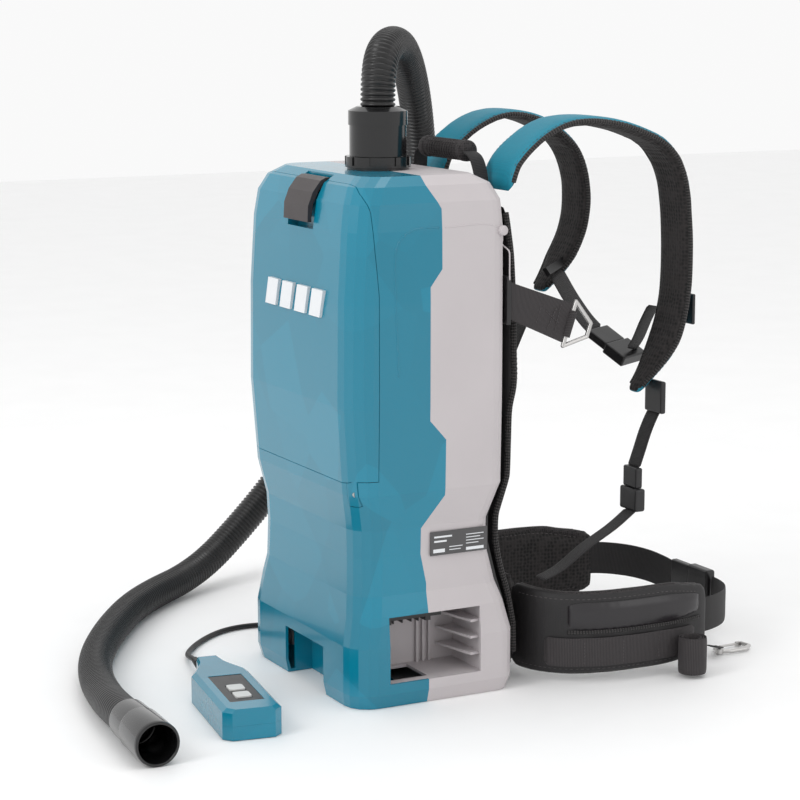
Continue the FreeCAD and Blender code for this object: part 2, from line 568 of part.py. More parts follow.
# ---------------------------------------------------------------- back frame and pad
FRAME_INNER = [(101.4, 20), (101.4, 62), (93.4, 92), (86.4, 112), (76.4, 150), (76.4, 178), (89.4, 214),
               (89.4, 470), (87.4, 492)]
frame_outer = [(y + 5, z) for y, z in FRAME_INNER]
back_frame = prism_x(FRAME_INNER + frame_outer[::-1], (-FRAME_HALF, FRAME_HALF))
for side in (-1, 1):
    back_frame = back_frame.fuse(box((side * 99, side * 121), (89.6, 94), (372, 420)))
back_frame = back_frame.cut(Part.makeCompound(screws))
save("back_frame", back_frame)
save("housing_screws", *screws)
PAD_OUTER = [(119, 20), (117, 60), (111, 100), (101, 130), (98, 170), (113, 215), (116, 285), (128, 305), (123, 400),
             (118, 440), (106, 478), (101, 490)]
pad_inner = [(y + 8.4, z) for y, z in FRAME_INNER[:-1]] + [(97.0, 490)]
save("back_pad", prism_x(pad_inner + PAD_OUTER[::-1], (-PAD_HALF, PAD_HALF)))

# ---------------------------------------------------------------- shoulder straps and carry handle
strap_right = prism_x(thick_line(STRAP_RIGHT_PATH, STRAP_THICK), (STRAP_INNER, STRAP_OUTER))
strap_left = prism_x(thick_line(STRAP_LEFT_PATH, STRAP_THICK), (-STRAP_OUTER, -STRAP_INNER))
save("shoulder_strap_right", strap_right)
save("shoulder_strap_left", strap_left)
carry_grip = cylinder(GRIP_RADIUS, (GRIP_X[0], 89, 538), X_AXIS, GRIP_X[1] - GRIP_X[0])
save("carry_grip", carry_grip)
handle_end = [(43.2, 89, 538), (56, 90, 532), (63, 92, 514), (65, 92, 496)]
webbing = [ribbon(handle_end, Y_AXIS, 16, 2.6),
           ribbon([(-x - 2, y, z) for x, y, z in handle_end], Y_AXIS, 16, 2.6)]

# ---------------------------------------------------------------- side tabs and triangle rings
TAB_X = 118.0
TAB_TOP, TAB_LOW = (167.0, 388.0), (154.0, 350.0)
LOOP_INSET = 6.5               # webbing loop stops this far short of the corners of the ring


def side_tab():
    outline = [(94.2, 414), TAB_TOP, TAB_LOW, (94.2, 377)]
    tab = prism_x(outline, (TAB_X - 1.25, TAB_X + 1.25))
    bar_direction = Vector(0, TAB_TOP[0] - TAB_LOW[0], TAB_TOP[1] - TAB_LOW[1])
    bar_length = bar_direction.Length
    bar_direction.normalize()
    low = Vector(TAB_X, TAB_LOW[0] + 3, TAB_LOW[1] - 1) + bar_direction * LOOP_INSET
    loop = Part.makeCylinder(4.4, bar_length - 2 * LOOP_INSET, low, bar_direction)
    return tab.fuse(loop).cut(Part.makeCylinder(2.6, bar_length + 8, low - bar_direction * 5, bar_direction))


def triangle_ring():
    low = Vector(TAB_X, TAB_LOW[0] + 3, TAB_LOW[1] - 1)
    high = low + Vector(0, TAB_TOP[0] - TAB_LOW[0], TAB_TOP[1] - TAB_LOW[1])
    direction = high - low
    direction.normalize()
    outward = Vector(0, direction.z, -direction.y)
    low, high = low - direction * 3, high + direction * 3
    apex_low = low + direction * 16 + outward * 24
    apex_high = high - direction * 16 + outward * 24
    return rod_path([low, high, apex_high, apex_low, low], 2.2)


tab_right, ring_right = side_tab(), triangle_ring()
save("side_tabs", tab_right, mirrored(tab_right))
save("triangle_ring_right", ring_right)
save("triangle_ring_left", mirrored(ring_right))

# ---------------------------------------------------------------- chest strap
CHEST_ALONG, CHEST_ACROSS = (0.81, 0.335, -0.476), (-0.54, 0.82, 0.17)
chest_left = [(-44, 247, 397), (-36, 262, 368), (-27, 275, 346), (-19.5, 281, 336.7)]
chest_right = [(23.5, 300, 319.5), (27.5, 305, 330), (33, 311, 350), (37, 316, 365)]
webbing.append(ribbon(chest_left, CHEST_ACROSS, 34))
webbing.append(ribbon(chest_right, (-0.35, 0.9, 0), WEBBING_THIN))
chest_socket = rounded(oriented_box((16.4, 295.9, 315.6), CHEST_ALONG, CHEST_ACROSS, (28.5, 40, 12)), 2.0)
chest_tongue = rounded(oriented_box((-6.7, 286.4, 329.1), CHEST_ALONG, CHEST_ACROSS, (27.4, 34, 9)), 2.0)
save("chest_buckle_socket", chest_socket)
save("chest_buckle_tongue", chest_tongue)
buckles = [oriented_box((-41, 243, 404), CHEST_ACROSS, (0.35, 0.45, -0.82), (42, 9, 5)),
           rounded(box((50, 90), (331.5, 335.5), (352, 384)), 1.5)]

# ---------------------------------------------------------------- lower straps
lower_right_top = [(82, 296.5, 282), (81, 297, 270), (80, 291, 260), (80, 282.5, 243), (81, 274, 222), (82, 267, 207)]
webbing.append(ribbon(lower_right_top, (1, 0, 0), WEBBING_THIN))
buckles.append(rounded(box((68, 100), (288, 294), (262, 296)), 2.0))
buckles.append(rounded(box((66, 98), (260, 272), (160, 184)), 2.5))
buckles.append(rounded(box((69, 95), (262, 270), (184.3, 206)), 2.0))
buckles = [clear_of(buckle, strap_right, strap_left) for buckle in buckles]
save("strap_buckles", *buckles)
lower_right_end = [(84, 264, 159), (89, 238, 147), (96, 198, 130), (100, 165, 112), (101, 140, 104)]
webbing.append(ribbon(lower_right_end, (1, 0, 0), 20))
lower_left = [(-70, 232, 364), (-72, 216, 330), (-76, 196, 280), (-82, 176, 220), (-90, 156, 160), (-98, 142, 110)]
webbing.append(ribbon(lower_left, (1, 0, 0), WEBBING_THIN))
in_the_way = [strap_right, strap_left, casing_outer, carry_grip, chest_socket, chest_tongue] + buckles
save("strap_webbing", *[clear_of(band, *in_the_way) for band in webbing])

# ---------------------------------------------------------------- hip belt
save("hip_belt_back", rounded(box((-60, 60), (121, 143), BELT_Z), 4.0))
save("hip_wing_right", prism_z(thick_line(WING_RIGHT_PATH, WING_THICK), BELT_Z))
save("hip_wing_left", prism_z(thick_line(WING_LEFT_PATH, WING_THICK), BELT_Z))
belt_right = [(126, 339, 50), (112, 362, 49), (88, 383, 47), (62, 395, 45), (40, 400, 44)]
belt_left = [(-112, 359, 55), (-98, 376, 53), (-76, 392, 50), (-52, 400, 46), (-36, 401, 44)]
webbing_roll = ring(16, 8, (170.6, 284, 3), Z_AXIS, 40)
clip_loop_band = ribbon([(128.6, 338, 14), (122, 349, 9.5), (118.5, 357, 8)], (1, 0.5, 0), 12)
save("hip_webbing", ribbon(belt_right, (0, 0, 1), WEBBING_WIDE), ribbon(belt_left, (0, 0, 1), WEBBING_WIDE),
     webbing_roll, clip_loop_band)
save("hip_buckle_socket", rounded(box((0, 38), (394, 406), (20, 68)), 3.0))
save("hip_buckle_tongue", rounded(box((-34, -0.3), (396, 404), (22, 66)), 2.0))
CLIP_Z = 3.2
CLIP_RADIUS = 2.2
CLIP_ROUTE = [(104.6, 361), (110, 356.5), (118, 356), (124, 366), (124, 386), (116, 396), (104, 394)]
GATE_PIVOT = (104.0, 388.8)
GATE_PIN_RADIUS = 1.0
key_clip = rod_path([(x, y, CLIP_Z) for x, y in CLIP_ROUTE], CLIP_RADIUS)
key_clip = key_clip.fuse(cylinder(4.6, (118, 356, CLIP_Z - CLIP_RADIUS), Z_AXIS, 2 * CLIP_RADIUS))
key_clip = key_clip.cut(cylinder(2.2, (118, 356, 0), Z_AXIS, 10))
for plate_z in (1.0, 4.6):
    fork = box((GATE_PIVOT[0] - 2.2, GATE_PIVOT[0] + 2.2), (GATE_PIVOT[1], GATE_PIVOT[1] + 4.2), (plate_z, plate_z + 0.8))
    key_clip = key_clip.fuse(fork).fuse(cylinder(2.2, (GATE_PIVOT[0], GATE_PIVOT[1], plate_z), Z_AXIS, 0.8))
save("key_clip", key_clip.fuse(cylinder(GATE_PIN_RADIUS, (GATE_PIVOT[0], GATE_PIVOT[1], 1.0), Z_AXIS, 4.4)))
gate = rod_path([(104.4, 366.4, CLIP_Z), (GATE_PIVOT[0], GATE_PIVOT[1], CLIP_Z)], 1.3)
gate = gate.fuse(cylinder(2.3, (GATE_PIVOT[0], GATE_PIVOT[1], 2.0), Z_AXIS, 2.4))
gate_hole = cylinder(GATE_PIN_RADIUS + RUNNING, (GATE_PIVOT[0], GATE_PIVOT[1], 0), Z_AXIS, 10)
save("key_clip_gate", gate.cut(gate_hole))

# ---------------------------------------------------------------- wired remote control
def remote_place(shape):
    """Move a shape made with its front end at x = 0, its length along -X, to its place on the floor."""
    shape = shape.copy()
    shape.rotate(Vector(0, 0, 0), Z_AXIS, REMOTE_ANGLE)
    return shape.translated(REMOTE_FRONT)


half_r = REMOTE_WIDTH / 2
REMOTE_PLAN = [(0, -half_r + 8), (0, half_r - 8), (-8, half_r), (-130, half_r), (-152, 18), (-162, 14),
               (-REMOTE_LENGTH, 11), (-REMOTE_LENGTH, -11), (-162, -14), (-152, -18), (-130, -half_r),
               (-8, -half_r)]


def remote_block(inset, z_range):
    outline = []
    for x, y in REMOTE_PLAN:
        outline.append((max(min(x, -inset), -REMOTE_LENGTH + inset), y - math.copysign(inset, y)))
    return prism_z(outline, z_range)


remote_bottom = remote_block(0, (0.4, REMOTE_SPLIT)).cut(remote_block(2.2, (2.6, REMOTE_SPLIT + 1)))
remote_top = remote_block(0, (REMOTE_SPLIT + 0.1, REMOTE_HEIGHT - 4))
remote_top = remote_top.fuse(Part.makeLoft(
    [Part.makePolygon([Vector(x + ix, y * ky, z) for x, y in REMOTE_PLAN + REMOTE_PLAN[:1]])
     for z, ix, ky in ((REMOTE_HEIGHT - 4, 0, 1.0), (REMOTE_HEIGHT, 0, 0.84))], True, True))
remote_top = remote_top.cut(remote_block(2.2, (REMOTE_SPLIT, REMOTE_HEIGHT - 5)))
panel_x = (-112, -24)
remote_top = remote_top.cut(box(panel_x, (-17, 17), (REMOTE_HEIGHT - 1.4, REMOTE_HEIGHT + 1)))
BUTTONS = {"power_button": -44.0, "mode_button": -68.0}
BUTTON_HALF = (8.5, 8.0)
for centre_x in BUTTONS.values():
    hole = box((centre_x - BUTTON_HALF[0] - LOOSE, centre_x + BUTTON_HALF[0] + LOOSE),
               (-BUTTON_HALF[1] - LOOSE, BUTTON_HALF[1] + LOOSE), (20, 40))
    remote_top = remote_top.cut(hole)
relief_hole = cylinder(4.0, (-REMOTE_LENGTH - 5, 0, 12.5), X_AXIS, 12)
save("remote_top", remote_place(remote_top.cut(relief_hole)))
save("remote_bottom", remote_place(remote_bottom.cut(relief_hole)))
panel = box((panel_x[0] + 0.2, panel_x[1] - 0.2), (-16.8, 16.8), (REMOTE_HEIGHT - 1.3, REMOTE_HEIGHT - 0.4))
for centre_x in BUTTONS.values():
    panel = panel.cut(box((centre_x - 9, centre_x + 9), (-8.5, 8.5), (20, 40)))
save("remote_panel", remote_place(panel))
for name, centre_x in BUTTONS.items():
    cap = rounded(box((centre_x - BUTTON_HALF[0], centre_x + BUTTON_HALF[0]), (-BUTTON_HALF[1], BUTTON_HALF[1]),
                      (REMOTE_HEIGHT - 6.5, REMOTE_HEIGHT + 0.8)), 3.0, Z_AXIS)
    save(name, remote_place(cap))
save("circuit_boards", control_board, remote_place(box((-120, -10), (-22, 22), (16.0, 17.6))))
remote_relief = Part.makeCone(CABLE_RADIUS + 0.9, 6.5, RELIEF_LENGTH,
                              Vector(-REMOTE_LENGTH - RELIEF_LENGTH, 0, 12.5), X_AXIS)
remote_relief = remote_place(remote_relief)

# ---------------------------------------------------------------- cable of the remote control
cable_gland = Part.makeCone(7.0, CABLE_RADIUS + 0.8, GLAND_LENGTH, GLAND, Vector(-1, 0, 0))
save("cable_reliefs", cable_gland, remote_relief)
cable_tubes = []
for label, route in (("cable to the coil", CABLE_TO_COIL), ("cable to the remote", CABLE_TO_REMOTE)):
    wire = rounded_route(route, label)
    tube = swept_disc(wire, CABLE_RADIUS)
    print(label, "volume ratio", round(tube.Volume / (math.pi * CABLE_RADIUS ** 2 * wire.Length), 4))
    cable_tubes.append(tube)
save("remote_cable", *cable_tubes)
save("cable_coil", ring(COIL_RADIUS + CABLE_RADIUS + 0.5, COIL_RADIUS - CABLE_RADIUS - 0.5, COIL_CENTRE, Z_AXIS,
                        2 * CABLE_RADIUS * COIL_LAYERS))
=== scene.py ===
import json
import math

import bmesh
import bpy
import numpy as np
from mathutils import Matrix, Vector
from mathutils.bvhtree import BVHTree


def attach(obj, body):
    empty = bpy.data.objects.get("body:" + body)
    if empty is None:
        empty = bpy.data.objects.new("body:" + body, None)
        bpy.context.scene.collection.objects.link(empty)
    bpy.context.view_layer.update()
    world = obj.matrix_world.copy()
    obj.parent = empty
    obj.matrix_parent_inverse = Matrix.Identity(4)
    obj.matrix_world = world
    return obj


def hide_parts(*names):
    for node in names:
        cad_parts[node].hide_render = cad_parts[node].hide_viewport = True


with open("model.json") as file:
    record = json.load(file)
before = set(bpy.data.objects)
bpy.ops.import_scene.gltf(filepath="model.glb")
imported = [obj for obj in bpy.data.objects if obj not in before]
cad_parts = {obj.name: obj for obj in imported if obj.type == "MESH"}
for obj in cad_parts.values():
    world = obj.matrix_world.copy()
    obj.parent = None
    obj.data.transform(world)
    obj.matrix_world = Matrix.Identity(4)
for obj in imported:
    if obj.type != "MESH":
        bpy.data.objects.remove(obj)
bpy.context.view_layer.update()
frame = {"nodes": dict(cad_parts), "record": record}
MM = 0.001                             # one millimetre in metres; sizes below are in millimetres

CAMERA_AT = (2.0996, -1.0682, 0.705)   # metres
CAMERA_TURN = (62.3, 10.1)             # degrees round the object, and above the level
CAMERA_LENS = 105.75

CASING_HALF = 125.0                    # half the casing's width
HOSE_RADIUS = 17.5
RIB_HEIGHT, RIB_PITCH = 1.9, 4.7
CABLE_RADIUS = 2.75
STRAP_X = 70.0                         # middle of each shoulder strap
BELT_MIDDLE = 51.5                     # height of the middle of the hip belt
BELT_HALF = 46.0                       # half the belt's height
TAB_X = 118.0                          # side tabs' place across the casing
GRIP_AT = (89.0, 538.0)                # y and z of the carry handle


# ---------------------------------------------------------------- camera, light and floor
def add_camera():
    azimuth, pitch = (math.radians(angle) for angle in CAMERA_TURN)
    level = math.cos(pitch)
    back = Vector((math.sin(azimuth) * level, -math.cos(azimuth) * level, math.sin(pitch)))
    data = bpy.data.cameras.new("camera")
    data.lens = CAMERA_LENS
    data.sensor_width = 36.0
    data.clip_start, data.clip_end = 0.05, 50.0
    camera = bpy.data.objects.new("camera", data)
    bpy.context.scene.collection.objects.link(camera)
    camera.location = CAMERA_AT
    camera.rotation_euler = back.to_track_quat("Z", "Y").to_euler()
    bpy.context.scene.camera = camera


def add_area(name, location, target, size, power, colour=(1, 1, 1)):
    data = bpy.data.lights.new(name, "AREA")
    data.shape, data.size, data.size_y = "RECTANGLE", size[0], size[1]
    data.energy, data.color = power, colour
    light = bpy.data.objects.new(name, data)
    bpy.context.scene.collection.objects.link(light)
    light.location = location
    direction = Vector(location) - Vector(target)
    light.rotation_euler = direction.to_track_quat("Z", "Y").to_euler()


# ---------------------------------------------------------------- materials
def start_material(name, colour, roughness, metallic=0.0):
    material = bpy.data.materials.new(name)
    material.use_nodes = True
    material.diffuse_color = (*colour, 1)
    nodes, links = material.node_tree.nodes, material.node_tree.links
    shader = nodes["Principled BSDF"]
    shader.inputs["Metallic"].default_value = metallic
    shader.inputs["Roughness"].default_value = roughness
    return material, nodes, links, shader


def coordinates(nodes, use_uv):
    node = nodes.new("ShaderNodeTexCoord")
    return node.outputs["UV" if use_uv else "Object"]


def noise(nodes, links, source, scale, detail=4.0, roughness=0.55):
    node = nodes.new("ShaderNodeTexNoise")
    node.inputs["Scale"].default_value = scale
    node.inputs["Detail"].default_value = detail
    node.inputs["Roughness"].default_value = roughness
    links.new(source, node.inputs["Vector"])
    return node.outputs["Fac"]


def ramp(nodes, links, value, stops):
    node = nodes.new("ShaderNodeValToRGB")
    elements = node.color_ramp.elements
    while len(elements) < len(stops):
        elements.new(0.5)
    for element, (place, colour) in zip(elements, stops):
        element.position = place
        element.color = (*colour, 1)
    links.new(value, node.inputs["Fac"])
    return node.outputs["Color"]


def spread(nodes, links, value, low, high):
    node = nodes.new("ShaderNodeMapRange")
    node.inputs["To Min"].default_value = low
    node.inputs["To Max"].default_value = high
    links.new(value, node.inputs["Value"])
    return node.outputs["Result"]


def scaled(colour, factor):
    return tuple(min(1.0, channel * factor) for channel in colour)


def add_bump(nodes, links, shader, heights, strength, distance):
    """Bump from one height, or from several added together."""
    total = heights[0]
    for other in heights[1:]:
        node = nodes.new("ShaderNodeMath")
        node.operation = "ADD"
        links.new(total, node.inputs[0])
        links.new(other, node.inputs[1])
        total = node.outputs[0]
    bump = nodes.new("ShaderNodeBump")
    bump.inputs["Strength"].default_value = strength
    bump.inputs["Distance"].default_value = distance
    links.new(total, bump.inputs["Height"])
    links.new(bump.outputs["Normal"], shader.inputs["Normal"])


def plastic(name, colour, roughness, coat=0.0, variation=0.05, grain=900.0, strength=0.06, depth=0.0002,
            metallic=0.0):
    """Moulded plastic or plain metal: faint cloudy colour, uneven gloss and a fine surface grain."""
    material, nodes, links, shader = start_material(name, colour, roughness, metallic)
    shader.inputs["Coat Weight"].default_value = coat
    shader.inputs["Coat Roughness"].default_value = 0.04
    place = coordinates(nodes, False)
    cloud = noise(nodes, links, place, 9.0)
    shades = [(0.3, scaled(colour, 1 - variation)), (0.7, scaled(colour, 1 + variation))]
    shade = ramp(nodes, links, cloud, shades)
    links.new(shade, shader.inputs["Base Color"])
    fine = noise(nodes, links, place, 60.0, 6.0)
    links.new(spread(nodes, links, fine, max(0.02, roughness * 0.8), min(1.0, roughness * 1.25)),
              shader.inputs["Roughness"])
    add_bump(nodes, links, shader, [noise(nodes, links, place, grain, 2.0)], strength, depth)
    return material


def cell_fabric(name, dark, light, cell, strength=0.6, depth=0.0008, roughness=0.85, randomness=0.35,
                sheen=0.25):
    """Knitted or woven cloth: near-regular cells with lighter threads between them."""
    material, nodes, links, shader = start_material(name, dark, roughness)
    shader.inputs["Sheen Weight"].default_value = sheen
    shader.inputs["Sheen Roughness"].default_value = 0.4
    place = coordinates(nodes, False)
    voronoi = nodes.new("ShaderNodeTexVoronoi")
    voronoi.inputs["Scale"].default_value = 1.0 / cell
    voronoi.inputs["Randomness"].default_value = randomness
    links.new(place, voronoi.inputs["Vector"])
    distance = voronoi.outputs["Distance"]
    cloud = noise(nodes, links, place, 14.0)
    thread = ramp(nodes, links, distance, [(0.18, dark), (0.62, light)])
    mix = nodes.new("ShaderNodeMixRGB")
    mix.blend_type = "MULTIPLY"
    mix.inputs["Fac"].default_value = 0.35
    links.new(thread, mix.inputs["Color1"])
    links.new(ramp(nodes, links, cloud, [(0.25, (0.6, 0.6, 0.6)), (0.75, (1, 1, 1))]), mix.inputs["Color2"])
    links.new(mix.outputs["Color"], shader.inputs["Base Color"])
    add_bump(nodes, links, shader, [distance, spread(nodes, links, noise(nodes, links, place, 40.0), 0, 0.4)],
             strength, depth)
    return material


def ribbed(name, dark, light, pitch, strength=0.5, depth=0.0005, roughness=0.7):
    """Webbing: fine ribs across the length, with the yarn showing along it; needs a UV map in metres."""
    material, nodes, links, shader = start_material(name, dark, roughness)
    shader.inputs["Sheen Weight"].default_value = 0.04
    place = coordinates(nodes, True)
    heights = []
    for direction, size in (("X", pitch), ("Y", pitch * 0.7)):
        wave = nodes.new("ShaderNodeTexWave")
        wave.bands_direction = direction
        wave.inputs["Scale"].default_value = 0.314 / size
        wave.inputs["Distortion"].default_value = 0.6
        wave.inputs["Detail Scale"].default_value = 2.0
        links.new(place, wave.inputs["Vector"])
        heights.append(wave.outputs["Fac"])
    links.new(ramp(nodes, links, heights[0], [(0.2, dark), (0.9, light)]), shader.inputs["Base Color"])
    add_bump(nodes, links, shader, heights, strength, depth)
    return material


def paint_facet_reflections(material, colour, size, low, high):
    """Painted reflections: large flat areas a little lighter and darker in the base colour, standing for the
    light that the broad facets of the moulding reflect.
    """
    nodes, links = material.node_tree.nodes, material.node_tree.links
    cells = nodes.new("ShaderNodeTexVoronoi")
    cells.inputs["Scale"].default_value = 1.0 / size
    links.new(coordinates(nodes, False), cells.inputs["Vector"])
    split = nodes.new("ShaderNodeSeparateColor")
    links.new(cells.outputs["Color"], split.inputs["Color"])
    # painted reflection: each cell gets a lighter or darker copy of the colour
    shades = [(0.1, scaled(colour, low)), (0.9, scaled(colour, high))]
    shade = ramp(nodes, links, split.outputs["Red"], shades)
    links.new(shade, nodes["Principled BSDF"].inputs["Base Color"])


TEAL = (0.0, 0.190, 0.290)
M = {}
M["teal"] = plastic("teal_gloss", TEAL, 0.2, coat=0.25, variation=0.04, grain=500.0, strength=0.02)
# painted reflections on the teal plastic: cells about 85 mm across, from 0.93 to 1.06 of the teal
paint_facet_reflections(M["teal"], TEAL, 0.085, 0.93, 1.06)
M["grey"] = plastic("grey_satin", (0.50, 0.465, 0.475), 0.42, variation=0.03, grain=1800.0, strength=0.12)
M["black_gloss"] = plastic("black_gloss", (0.006, 0.006, 0.0065), 0.16, coat=0.2, variation=0.1)
M["dark"] = plastic("dark_satin", (0.010, 0.0095, 0.0105), 0.34, variation=0.15, grain=1500.0, strength=0.15)
M["latch"] = plastic("latch_satin", (0.024, 0.017, 0.018), 0.34, variation=0.1, grain=1400.0, strength=0.12)
M["hose"] = plastic("hose_satin", (0.006, 0.0058, 0.0062), 0.33, variation=0.2, grain=1200.0, strength=0.1)
M["cable"] = plastic("cable_rubber", (0.006, 0.006, 0.0065), 0.45, variation=0.2, grain=2500.0, strength=0.2)
M["rubber"] = plastic("seal_rubber", (0.018, 0.018, 0.018), 0.65, variation=0.2, grain=2200.0, strength=0.25)
M["steel"] = plastic("steel", (0.55, 0.54, 0.53), 0.28, metallic=1.0, grain=2600.0, strength=0.1)
M["copper"] = plastic("winding", (0.45, 0.2, 0.09), 0.4, metallic=0.8, grain=1500.0, strength=0.4)
M["board"] = plastic("board", (0.02, 0.13, 0.06), 0.4, grain=900.0, strength=0.2)
M["paper"] = plastic("filter_paper", (0.78, 0.76, 0.69), 0.9, grain=1500.0, strength=0.3)
M["fleece"] = plastic("bag_fleece", (0.68, 0.65, 0.57), 0.95, grain=700.0, strength=0.6, depth=0.0006)
M["foam"] = plastic("foam", (0.05, 0.05, 0.052), 0.95, grain=500.0, strength=0.8, depth=0.001)
M["plate"] = plastic("plate_film", (0.07, 0.068, 0.07), 0.35, variation=0.08)
M["print"] = plastic("print_white", (0.72, 0.74, 0.76), 0.3, variation=0.03)
M["button"] = plastic("button_grey", (0.62, 0.62, 0.61), 0.45, variation=0.05, grain=2000.0, strength=0.15)
M["teal_cloth"] = cell_fabric("teal_cloth", (0.0, 0.165, 0.250), (0.0, 0.230, 0.330), 0.0011, strength=0.25,
                              depth=0.0003, roughness=0.62, sheen=0.03)
M["mesh"] = cell_fabric("air_mesh", (0.002, 0.002, 0.002), (0.026, 0.022, 0.022), 0.0042, strength=0.9,
                        depth=0.0012, sheen=0.03)
M["black_cloth"] = cell_fabric("black_cloth", (0.005, 0.0045, 0.005), (0.012, 0.0105, 0.0115), 0.0012,
                               strength=0.3, depth=0.0003, roughness=0.6, sheen=0.03)
M["webbing"] = ribbed("webbing", (0.004, 0.0036, 0.004), (0.020, 0.0175, 0.0185), 0.0016)
M["grey_webbing"] = ribbed("grey_webbing", (0.014, 0.012, 0.013), (0.046, 0.039, 0.041), 0.0016)
M["braid"] = ribbed("braid", (0.003, 0.003, 0.003), (0.050, 0.044, 0.044), 0.0030, strength=0.9, depth=0.0009)
M["thread"] = plastic("thread", (0.07, 0.063, 0.065), 0.8, grain=3000.0, strength=0.4)
M["satin"] = plastic("belt_satin", (0.016, 0.014, 0.016), 0.32, variation=0.2, grain=1600.0, strength=0.15)
M["mesh_fine"] = cell_fabric("edge_knit", (0.004, 0.0035, 0.004), (0.038, 0.033, 0.034), 0.0024, sheen=0.03,
                             strength=0.8, depth=0.0007)


# ---------------------------------------------------------------- mesh helpers
def mesh_object(name, points_mm, faces, uvs=None, smooth=True, sharp=None):
    mesh = bpy.data.meshes.new(name)
    mesh.from_pydata([tuple(float(c) * MM for c in p) for p in points_mm], [], faces)
    mesh.validate()
    if uvs is not None:
        layer = mesh.uv_layers.new(name="UVMap")
        for loop in mesh.loops:
            u, v = uvs[loop.vertex_index]
            layer.data[loop.index].uv = (u * MM, v * MM)
    mesh.polygons.foreach_set("use_smooth", [smooth] * len(mesh.polygons))
    obj = bpy.data.objects.new(name, mesh)
    bpy.context.scene.collection.objects.link(obj)
    if sharp is not None:
        mesh.set_sharp_from_angle(angle=math.radians(sharp))
    return obj


def settle(obj, sharp=None):
    """Turn the object's modifiers into its mesh."""
    graph = bpy.context.evaluated_depsgraph_get()
    mesh = bpy.data.meshes.new_from_object(obj.evaluated_get(graph))
    obj.modifiers.clear()
    obj.data = mesh
    mesh.polygons.foreach_set("use_smooth", [True] * len(mesh.polygons))
    if sharp is not None:
        mesh.set_sharp_from_angle(angle=math.radians(sharp))
    return obj


def outward(obj):
    work = bmesh.new()
    work.from_mesh(obj.data)
    bmesh.ops.recalc_face_normals(work, faces=work.faces)
    work.to_mesh(obj.data)
    work.free()
    return obj


def place(obj, material, slot, body="root", stands_for=()):
    if material is not None:
        obj.data.materials.clear()
        obj.data.materials.append(M[material])
    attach(obj, body)
    if stands_for:
        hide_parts(*stands_for)
    return obj


def smooth_line(points, step):
    """Centripetal Catmull-Rom line through the points, sampled about every step."""
    pts = [np.array(p, float) for p in points]
    pts = [2 * pts[0] - pts[1]] + pts + [2 * pts[-1] - pts[-2]]
    out = []
    for a, b, c, d in zip(pts[:-3], pts[1:-2], pts[2:-1], pts[3:]):
        t0 = 0.0
        t1 = t0 + max(np.linalg.norm(b - a), 1e-6) ** 0.5
        t2 = t1 + max(np.linalg.norm(c - b), 1e-6) ** 0.5
        t3 = t2 + max(np.linalg.norm(d - c), 1e-6) ** 0.5
        count = max(1, int(round(np.linalg.norm(c - b) / step)))
        for k in range(count):
            t = t1 + (t2 - t1) * k / count
            p1 = (t1 - t) / (t1 - t0) * a + (t - t0) / (t1 - t0) * b
            p2 = (t2 - t) / (t2 - t1) * b + (t - t1) / (t2 - t1) * c
            p3 = (t3 - t) / (t3 - t2) * c + (t - t2) / (t3 - t2) * d
            q1 = (t2 - t) / (t2 - t0) * p1 + (t - t0) / (t2 - t0) * p2
            q2 = (t3 - t) / (t3 - t1) * p2 + (t - t1) / (t3 - t1) * p3
            out.append((t2 - t) / (t2 - t1) * q1 + (t - t1) / (t2 - t1) * q2)
    out.append(pts[-2])
    return np.array(out)


def unit(v):
    return v / max(np.linalg.norm(v), 1e-9)


def tangents(line):
    t = np.gradient(line, axis=0)
    return np.array([unit(v) for v in t])


def lengths(line):
    return np.concatenate([[0], np.cumsum(np.linalg.norm(np.diff(line, axis=0), axis=1))])


def carried_frames(line):
    """Two directions across the line at each point, turned as little as possible along it."""
    ts = tangents(line)
    side = unit(np.cross(ts[0], [0.0, 0.0, 1.0] if abs(ts[0][2]) < 0.9 else [1.0, 0.0, 0.0]))
    sides = []
    for t in ts:
        side = unit(side - t * np.dot(side, t))
        sides.append(side)
    sides = np.array(sides)
    return sides, np.cross(ts, sides)


def skin_rings(name, rings, uvs=None, sharp=None):
    """Mesh from a list of rings with the same count of points."""
    count = len(rings[0])
    points = [p for ring in rings for p in ring]
    faces = []
    for r in range(len(rings) - 1):
        for k in range(count):
            a, b = r * count + k, r * count + (k + 1) % count
            faces.append((a, b, b + count, a + count))
    faces.append(tuple(range(count))[::-1])
    faces.append(tuple(range((len(rings) - 1) * count, len(rings) * count)))
    obj = mesh_object(name, points, faces, uvs=uvs, sharp=sharp)
    return outward(obj)


def tube(name, line, radius, around=14):
    """Round bar along a line; radius is a number or a function of the length run."""
    line = np.array(line, float)
    a, b = carried_frames(line)
    run = lengths(line)
    radii = radius if callable(radius) else (lambda s: radius)
    angles = [2 * math.pi * k / around for k in range(around)]
    rings, uvs = [], []
    for p, u, v, s in zip(line, a, b, run):
        r = radii(s)
        rings.append([p + u * r * math.cos(angle) + v * r * math.sin(angle) for angle in angles])
        uvs += [(s, r * angle) for angle in angles]
    return skin_rings(name, rings, uvs=uvs)


def lathe(name, profile, origin, axis, around=72, sharp=32):
    """Solid turned about an axis from (distance along, radius) points."""
    axis = unit(np.array(axis, float))
    u = unit(np.cross(axis, [0, 0, 1.0] if abs(axis[2]) < 0.9 else [1.0, 0, 0]))
    v = np.cross(axis, u)
    rings = []
    for along, radius in profile:
        centre = np.array(origin, float) + axis * along
        rings.append([centre + u * radius * math.cos(2 * math.pi * k / around)
                      + v * radius * math.sin(2 * math.pi * k / around) for k in range(around)])
    return skin_rings(name, rings, sharp=sharp)


def smoothstep(low, high, value):
    t = min(1.0, max(0.0, (value - low) / (high - low)))
    return t * t * (3 - 2 * t)


